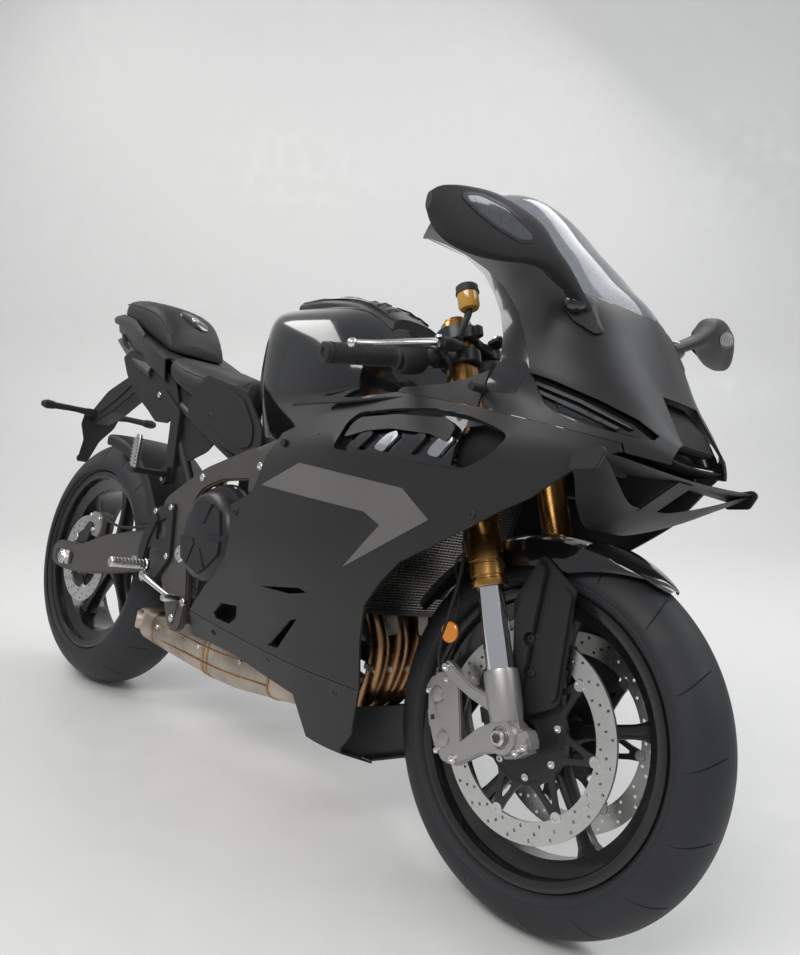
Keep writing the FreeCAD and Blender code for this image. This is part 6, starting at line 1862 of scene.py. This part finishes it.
def swingarm():
    """Two beams with a bridge and pivot tube, chain adjusters, axle and chain guard."""
    beam, parts = round_outline(BEAM, 14, 3), []
    for s in (1, -1):
        parts += [side_slab(beam, s, 124, 148, 4), side_slab(WEB, s, 98, 125, 3)]
        parts.append(side_slab([(488, 426), (548, 426), (548, 398), (488, 392)], s, 60, 99, 2))
    parts.append(slab([(340, 350), (340, 398), (400, 404), (410, 362)], -100, 100, 3))
    pivot = lathe([(10.4, -148), (26, -148), (26, 92), (10.4, 92)], 32, closed=True)
    parts.append(shifted(pivot, ARM_PIVOT_X, 0, ARM_PIVOT_Z))
    piece("swingarm_cast", "frame", *parts, nodes=["swingarm"], angle=40)
    plates, blocks, heads = [], [], []
    for s in (1, -1):
        slot = round_outline([(-58, 298), (34, 302), (34, 330), (-58, 328)], 6)
        plates.append(side_slab(slot, s, 147.6, 149.6, 1))
        blocks.append(side_slab(round_outline([(-24, 296), (26, 298), (26, 334), (-24, 332)], 4), s, 149, 155,
                                2))
        nut = lathe([(0, 10), (8.5, 10), (9, 8), (18, 8), (20, 6), (20, 0), (0, 0)], 6)
        heads.append(set_on(nut, s, 0, 154.5, 315))
        heads.append(aimed(lathe([(0, 0), (4, 0), (4, 26), (0, 26)], 10), (-60, s * 140, 314), (-1, 0, 0)))
        stud = lathe([(0, 3), (9, 3), (10, 0), (0, 0)], 20)
        heads.append(([(x + 330, s * (y * 0.6 + 148), z * 0.4 + 372) for x, y, z in stud[0]], stud[1]))
    piece("adjuster_plates", "satin", *plates)
    piece("adjuster_blocks", "bright", *blocks)
    piece("rear_axle_nuts", "bright", *heads)
    axle = lathe([(8.5, -166), (11, -166), (12.4, -164), (12.4, 164), (11, 166), (8.5, 166)], 36, closed=True)
    piece("rear_axle_bar", "bright", axle, frame=REAR, nodes=["rear_axle"])
    guard = loops_body([
        [(100, 100, 440), (100, 122, 440), (100, 122, 443), (100, 100, 443)],
        [(220, 98, 470), (220, 122, 470), (220, 122, 473), (220, 98, 473)],
        [(420, 98, 486), (420, 122, 486), (420, 122, 489), (420, 98, 489)],
        [(500, 100, 480), (500, 120, 480), (500, 120, 483), (500, 100, 483)],
    ], 1)
    tab = side_slab([(300, 395), (320, 398), (330, 480), (310, 480)], 1, 121, 124, 1)
    piece("chain_guard", "moulded", guard, tab)


swingarm()


def chain_path(count):
    """Places and directions of the pins, evenly along the belt round both sprockets."""
    ax, az, bx, bz = 0, 315, 622, 410
    big, small = 100.0, 43.3

    def run_place(angle, t):
        """A place on the straight run that touches both sprockets at that angle."""
        a = (ax + big * math.cos(angle), az + big * math.sin(angle))
        b = (bx + small * math.cos(angle), bz + small * math.sin(angle))
        return a[0] + (b[0] - a[0]) * t, a[1] + (b[1] - a[1]) * t

    distance, slope = math.hypot(bx - ax, bz - az), math.atan2(bz - az, bx - ax)
    lift = math.asin((big - small) / distance)
    top, bottom = slope + math.pi / 2 - lift, slope - math.pi / 2 + lift
    run = math.sqrt(distance ** 2 - (big - small) ** 2)
    front_arc, rear_arc = small * (top - bottom), big * (2 * math.pi - (top - bottom))
    total = 2 * run + front_arc + rear_arc
    places = []
    for k in range(count):
        d = total * k / count
        if d < run:
            places.append(run_place(top, d / run))
        elif d < run + front_arc:
            angle = top - (d - run) / small
            places.append((bx + small * math.cos(angle), bz + small * math.sin(angle)))
        elif d < 2 * run + front_arc:
            t = (d - run - front_arc) / run
            a = (bx + small * math.cos(bottom), bz + small * math.sin(bottom))
            b = (ax + big * math.cos(bottom), az + big * math.sin(bottom))
            places.append((a[0] + (b[0] - a[0]) * t, a[1] + (b[1] - a[1]) * t))
        else:
            angle = bottom - (d - 2 * run - front_arc) / big
            places.append((ax + big * math.cos(angle), az + big * math.sin(angle)))
    return places


def link_outline(length):
    """A waisted link plate from one pin to the next."""
    turns = [math.pi * k / 6 for k in range(7)]
    back = [(6.6 * math.cos(math.pi / 2 + a), 6.6 * math.sin(math.pi / 2 + a)) for a in turns]
    front = [(length + 6.6 * math.cos(a - math.pi / 2), 6.6 * math.sin(a - math.pi / 2)) for a in turns]
    return back + [(length / 2, -4.6)] + front + [(length / 2, 4.6)]


# radius and Y of one pin with its roller
ROLLER = [(0, 99.2), (2.6, 99.2), (2.6, 102.8), (5, 102.8), (5, 113.2), (2.6, 113.2), (2.6, 116.8),
          (0, 116.8)]


def chain():
    """A drive chain of pins, rollers and waisted plates."""
    pins = chain_path(112)
    plates, rollers = [], []
    for k, (x, z) in enumerate(pins):
        nx, nz = pins[(k + 1) % len(pins)]
        angle = math.atan2(nz - z, nx - x)
        length = math.hypot(nx - x, nz - z)
        outline = link_outline(length)
        turned_outline = [(x + u * math.cos(angle) - v * math.sin(angle),
                           z + u * math.sin(angle) + v * math.cos(angle))
                          for u, v in outline]
        near = (5.2, 7.0) if k % 2 else (7.1, 8.8)
        for s in (1, -1):
            low, high = sorted((108 + s * near[0], 108 + s * near[1]))
            plates.append(slab(turned_outline, low, high))
        rollers.append(shifted(lathe(ROLLER, 10), x, 0, z))
    piece("chain_plates", "chain", *plates, nodes=["chain"])
    piece("chain_rollers", "chain", *rollers)


chain()


def rear_brake():
    """Rear caliper with its slot for the disc, bracket, bolts and hose."""
    outline = round_outline([(28, 382), (24, 430), (44, 442), (92, 440), (98, 400), (86, 380)], 9)
    body = raw("rear_caliper_body", side_slab(outline, -1, 84.2, 120, 4))
    carve(body, side_slab([(20, 350), (110, 350), (110, 431), (20, 431)], -1, 90.5, 105.5))
    settle(body, "cast", nodes=["rear_caliper"])
    bracket = side_slab(round_outline([(-26, 305), (-26, 341), (34, 415), (60, 411), (26, 305)], 6), -1, 110,
                        123.7, 2)
    piece("rear_caliper_bracket", "satin", bracket)
    heads = [set_on(bolt(6, 5), -1, x, 119.5, z) for x, z in ((40, 430), (84, 426), (60, 396))]
    piece("rear_caliper_bolts", "bright", *heads)
    hose = [(60, -112, 440), (70, -118, 470), (120, -138, 446), (240, -153, 430), (340, -153, 444),
            (430, -150, 466)]
    piece("rear_brake_hose", "rubber", tube(hose, 3.2, 10, 8))


rear_brake()


def hugger():
    """Arch close over the rear tyre, with its tab to the swingarm."""
    rows = []
    for k in range(25):
        angle = math.radians(10 + 78 * k / 24)
        edge = 1 - 0.10 * math.sin(math.pi * k / 24)
        section = [(-100 * edge, -26), (-102 * edge, -10), (-98 * edge, -1), (-84, 3), (-40, 5), (0, 5.6)]
        section += [(-y, h) for y, h in reversed(section[:-1])]
        line = smooth_line([(y, h, 0) for y, h in section], 3)
        rows.append([((325 + p[1]) * math.cos(angle), p[0], (325 + p[1]) * math.sin(angle)) for p in line])
    tab = across([(315, 73), (339, 73), (339, 83), (315, 83)], 30, 1)
    piece("hugger_arch", "moulded", arch_skin(np.array(rows), 3), tab, frame=REAR, nodes=["rear_hugger"],
          angle=45)


hugger()


# radius, then the way up from the lower eye
DAMPER = [(0, 0), (14, 0), (14, 38), (24, 40), (25, 44), (25, 52), (14, 54), (14, 176), (25, 178), (27, 182),
          (27, 214),
          (24, 220), (14, 222), (14, 245), (0, 245)]


def shock():
    """Rear damper with its link, spring, preload nut and canister."""
    start, end = Vector((445, 0, 300)), Vector((522, 0, 550))
    along = (end - start).normalized()
    body = aimed(lathe(DAMPER, 32), start, along)
    eye = shifted(lathe([(0, -16), (16, -16), (17, -14), (17, 14), (16, 16), (0, 16)], 28), start.x, 0,
                  start.z)
    link = tube([start, (402, 0, 352)], 9, 14, 2)
    piece("shock_body", "satin", body, eye, link, nodes=["shock_absorber"])
    piece("shock_spring", "gloss", spring(start + along * 56, along, 118, 20, 8, 14, 4.4, 10))
    nut = aimed(lathe([(27.4, 186), (29, 187), (29, 200), (27.4, 201)], 12, closed=True), start, along)
    can = upright(lathe([(0, 0), (17, 0), (19, 3), (19, 34), (16, 38), (0, 38)], 32), 478, -60, 566)
    piece("shock_adjuster", "gold", nut, can)


shock()


# lines of the left rail's tubes, each with its radius, sides and steps
RAILS = [
    ([(655, 112, 617), (450, 100, 690), (250, 88, 762), (145, 72, 802), (40, 56, 842)], 13, 18, 6),
    ([(470, 100, 512), (360, 94, 637), (250, 88, 762)], 12, 18, 4),
    ([(655, 112, 617), (655, 151, 617)], 13, 18, 2),
    ([(470, 100, 512), (470, 151, 512)], 12, 18, 2),
    ([(345, 104, 572), (345, 205, 572)], 7, 16, 2),
    ([(330, 92, 734), (330, 92, 770)], 8, 14, 2),
]
PEG_HANGER = [(222, 770), (262, 772), (348, 722), (366, 560), (348, 548), (328, 560), (312, 700)]
INNER_GUARD = [(262, 752), (318, 700), (352, 590), (470, 640), (520, 690), (470, 742), (330, 790)]


def subframe():
    """Seat rails, passenger peg hangers with their pegs folded up, and the guards inside."""
    tubes = []
    for s in (1, -1):
        for line, radius, sides, steps in RAILS:
            tubes.append(tube([(x, s * y, z) for x, y, z in line], radius, sides, steps))
    tubes.append(tube([(40, -56, 842), (40, 56, 842)], 11, 18, 2))
    tubes.append(tube([(250, -88, 762), (250, 88, 762)], 11, 18, 2))
    piece("seat_rails", "satin", *tubes, nodes=["subframe"], angle=50)
    pegs, bright = [], []
    for s in (1, -1):
        piece(f"peg_hanger_{s + 1}", "moulded", side_slab(round_outline(PEG_HANGER, 12, 4), s, 100, 112, 3))
        arm = side_slab(round_outline([(332, 590), (358, 590), (362, 556), (344, 546), (330, 560)], 5), s,
                        110, 124, 2)
        pegs.append(arm)
        loops = []
        for y, r in ((122, 8), (126, 12), (150, 11), (186, 10), (200, 12), (208, 9)):
            loops.append([(345 + r * 1.1 * a, s * y, 572 + r * 0.62 * b) for a, b in rounded_loop(16, 0.6)])
        pegs.append(loops_body(loops))
        # the foot of the peg is folded up against its hinge
        grip = []
        for z, r in ((566, 7), (572, 11), (604, 13), (640, 12), (652, 7)):
            grip.append([(345 + r * a, s * (200 + 0.5 * r * b), z) for a, b in rounded_loop(16, 0.6)])
        bright.append(loops_body(grip))
        for z in range(584, 644, 8):
            bright.append(loops_body([[(335, s * 194, level), (355, s * 194, level), (355, s * 208, level),
                                       (335, s * 208, level)] for level in (z, z + 3)]))
        bright.append(set_on(bolt(5, 4), s, 345, 123.5, 560))
        bright.append(set_on(bolt(7, 5), s, 246, 111.5, 754))
        piece(f"inner_guard_{s + 1}", "moulded", side_slab(round_outline(INNER_GUARD, 14), s, 96, 99, 1))
    piece("passenger_pegs", "satin", *pegs)
    piece("passenger_peg_bolts", "bright", *bright)


subframe()


HEEL_GUARD = [(392, 396), (408, 470), (430, 494), (452, 480), (424, 420), (420, 380), (404, 372)]


def rearsets():
    """Foot controls on their brackets, with pegs, pedal or lever, heel guards and bolts."""
    plate = round_outline([(430, 500), (500, 520), (520, 400), (470, 340), (420, 330), (400, 380)], 10, 3)
    for name, s in SIDES:
        bracket = raw(f"rearset_{name}", side_slab(plate, s, 168.3, 176, 2))
        for hole in ([(446, 470), (480, 486), (488, 440), (452, 430)],
                     [(424, 410), (470, 416), (462, 372), (430, 356)]):
            carve(bracket, side_slab(round_outline(hole, 8), s, 160, 190))
        settle(bracket, "satin", nodes=["rearsets"])
        piece(f"heel_guard_{name}", "moulded", side_slab(round_outline(HEEL_GUARD, 8), s, 176, 179.5, 1))
        peg = [(0, 172), (13, 172), (13, 178), (11, 180)]
        for k in range(9):
            y = 182 + 8.6 * k
            peg += [(11, y), (11, y + 4.4), (9.6, y + 5.2), (9.6, y + 8)]
        peg += [(11, 260), (9, 262), (0, 262)]
        pedal = [(440, s * 184, 350), (500, s * 185, 338), (560, s * 185, 328), (590, s * 184, 330)]
        pedal = tube(pedal, [8, 6, 5.5, 6], 14, 5)
        toe = lathe([(0, 180), (7, 180), (8, 182), (8, 218), (7, 220), (0, 220)], 18)
        post = tube([(440, s * 172, 350), (440, s * 188, 350)], 10, 16, 2)
        parts = [set_on(lathe(peg, 24), s, 430, 0, 372), pedal, sided(shifted(toe, 590, 0, 330), s), post]
        piece(f"rearset_controls_{name}", "bright", *parts)
        places = ((436, 492), (494, 508), (510, 404), (428, 342))
        heads = [set_on(bolt(6.5, 5), s, x, 176, z) for x, z in places]
        piece(f"rearset_bolts_{name}", "bright", *heads)


rearsets()


# Y, then leading X and Z, trailing X and Z from the front axle, and half the thickness
WING_UPPER = [(0, 168, 722, 66, 720, 5), (60, 168, 723, 68, 720, 5), (120, 167, 725, 74, 720, 5),
              (190, 160, 729, 92, 716, 4.5), (230, 152, 730, 110, 712, 3)]
WING_LOWER = [(0, 100, 672, 32, 627, 4), (60, 104, 674, 36, 628, 4), (140, 128, 698, 68, 656, 4),
              (200, 146, 720, 98, 690, 3.5), (230, 151, 727, 110, 706, 2.5)]
WING_TIP = [(108, 700), (150, 706), (161, 730), (152, 738), (110, 726)]
CHIN = [
    (20, [(0, 716), (60, 718), (120, 724), (188, 744)]), (80, [(0, 722), (50, 724), (100, 728), (168, 744)]),
    (130, [(0, 730), (40, 731), (80, 734), (128, 742)]), (166, [(0, 740), (24, 740), (50, 741), (80, 744)]),
]


def wing_blade(rows, s):
    """Half of a wing, thickest before its middle."""
    loops = []
    for y, lead, lead_z, trail, trail_z, thick in smooth_line(rows, 5):
        loop = []
        for k in range(16):
            a = 2 * math.pi * k / 16
            t = 0.5 + 0.5 * math.cos(a)
            x, z = trail + (lead - trail) * t, trail_z + (lead_z - trail_z) * t
            swell = 0.35 + 0.65 * math.sin(math.pi * min(1, t * 0.8 + 0.15))
            loop.append((FX + x, s * y, z + thick * math.sin(a) * swell))
        loops.append(loop)
    return loops_body(loops)


def winglets():
    """Looped wings under the nose, and the chin that closes the nose from below."""
    parts = [wing_blade(rows, s) for rows in (WING_UPPER, WING_LOWER) for s in (1, -1)]
    tips = [side_slab(round_outline(ahead(WING_TIP), 5), s, 227, 233.5, 2) for s in (1, -1)]
    keel = slab(ahead([(158, 720), (70, 722), (34, 630), (98, 668)]), -26, 26, 4)
    piece("winglet_blades", "moulded", *parts, *tips, keel, nodes=["winglets"], angle=40)
    chin = skin(table_grid(CHIN, 5, 4, whole=False), 0, 3)
    piece("nose_chin", "dark", chin, flipped(chin))
    vents = []
    for s in (1, -1):
        for k in range(4):
            x, rise = FX + 60 + 20 * k, 3 * k
            ends = ((s * (60 + 8 * k), 719 + rise), (s * (110 - 10 * k), 722 + rise))
            vents.append(loops_body([[(x, y, z), (x + 3, y, z), (x + 3, y, z + 8), (x, y, z + 8)]
                                     for y, z in ends]))
    piece("chin_vanes", "gloss", *vents)


winglets()



def belly_front():
    """The closed front of the belly pan, behind the front wheel."""
    half = [(y, z) for y, z in section_at(lower_grid, -330) if 150 < z < 262]
    outline = [(y - 2, z) for y, z in half]
    outline += [(-y, z) for y, z in reversed(outline)]
    piece("belly_front", "matte", front_slab(outline, FX - 338, FX - 332))
    lip = [(FX - 334, y - 3, z) for y, z in half]
    piece("belly_lip", "moulded", tube(lip + [(FX - 334, 0, half[-1][1])], 3, 8, 1))


def section_at(grid, x):
    """Half section of a skin, from the keel up, at a place along the bike."""
    rows = grid if grid[0][0][0] < grid[-1][0][0] else grid[::-1]
    places = [row[:, 0].mean() for row in rows]
    i = min(max(int(np.searchsorted(places, FX + x)), 1), len(places) - 1)
    t = (FX + x - places[i - 1]) / (places[i] - places[i - 1])
    line = rows[i - 1] * (1 - t) + rows[i] * t
    return [(float(q[1]), float(q[2])) for q in line if q[1] > 0]


belly_front()


# Looks of the solids' own pieces

CAD_LOOKS = {
    "tyre": "front_tyre rear_tyre",
    "satin": "front_rim rear_rim fork_clamps handlebars subframe rearsets rear_caliper radiator side_stand "
             "shock_absorber fairing_stay",
    "disc": "front_discs rear_disc rear_sprocket",
    "frame": "frame swingarm",
    "cast": "fork_lowers front_calipers",
    "bright": "front_axle rear_axle pivot_bolt",
    "gold": "fork_uppers",
    "engine": "engine_block engine_covers",
    "hot_steel": "exhaust_box",
    "header": "exhaust_headers",
    "chain": "chain",
    "moulded": "side_wings",
    "matte": "fairing_left fairing_right belly_pan nose_cowl tank tail_cowl knee_panels",
    "gloss": "front_fender winglets mirrors rear_hugger plate_hanger tank_cover",
    "rubber": "grips bar_controls brake_hoses",
    "cover": "rider_seat pillion_pad",
    "screen": "windscreen",
    "lens": "headlamps",
    "red": "tail_lamp",
}
for look, names in CAD_LOOKS.items():
    for name in names.split():
        cad = frame["nodes"][name]
        cad.data.materials.clear()
        cad.data.materials.append(M[look])


# Room

def make_room():
    """Floor and backdrop in one, and the lamps."""
    floor_look = surface("floor", (0.80, 0.80, 0.79), 0.38, grain=(60, 0.05), blotch=0.1, tint=0.02)
    mesh = bpy.data.meshes.new("floor")
    size, far, rise, steps = 5.0, 3.2, 1.0, 10
    profile = [(-size, 0.0), (far - rise, 0.0)]
    profile += [(far - rise + rise * math.sin(a), rise - rise * math.cos(a))
                for a in (math.pi / 2 * i / steps for i in range(1, steps + 1))]
    profile += [(far, 7.0)]
    # the backdrop stands across the camera's line of sight
    away = Vector((math.cos(math.radians(135.7)), math.sin(math.radians(135.7)), 0))
    side = Vector((-away.y, away.x, 0))
    verts = []
    for along, height in profile:
        for across in (-9, 9):
            verts.append(away * along + side * across + Vector((0, 0, height)))
    faces = [(2 * i, 2 * i + 1, 2 * i + 3, 2 * i + 2) for i in range(len(profile) - 1)]
    mesh.from_pydata(verts, [], faces)
    mesh.materials.append(floor_look)
    for face in mesh.polygons:
        face.use_smooth = True
    floor = bpy.data.objects.new("floor", mesh)
    bpy.context.scene.collection.objects.link(floor)
    world = bpy.data.worlds.new("studio")
    bpy.context.scene.world = world
    world.use_nodes = True
    world.node_tree.nodes["Background"].inputs["Color"].default_value = (0.82, 0.84, 0.87, 1)
    world.node_tree.nodes["Background"].inputs["Strength"].default_value = 0.42
    # place, width, height, power in watts, colour
    lamps = [
        ((1.2, -2.6, 3.2), 2.6, 1.2, 62, (1.0, 0.98, 0.95)),
        ((3.0, 1.6, 2.9), 2.4, 1.2, 44, (0.95, 0.97, 1.0)),
        ((-2.2, -1.2, 3.2), 2.6, 1.2, 44, (1.0, 0.99, 0.97)),
        ((0.2, 2.4, 3.0), 2.4, 1.0, 34, (1, 1, 1)),
    ]
    for i, (spot, width, height, power, colour) in enumerate(lamps):
        data = bpy.data.lights.new(f"lamp_{i}", "AREA")
        data.shape = "RECTANGLE"
        data.size, data.size_y = width, height
        data.energy = power
        data.color = colour
        lamp = bpy.data.objects.new(f"lamp_{i}", data)
        lamp.location = spot
        lamp.rotation_euler = (Vector((0, 0, 0.5)) - Vector(spot)).to_track_quat("-Z", "Y").to_euler()
        bpy.context.scene.collection.objects.link(lamp)


make_room()
bpy.context.scene.view_settings.view_transform = "Standard"
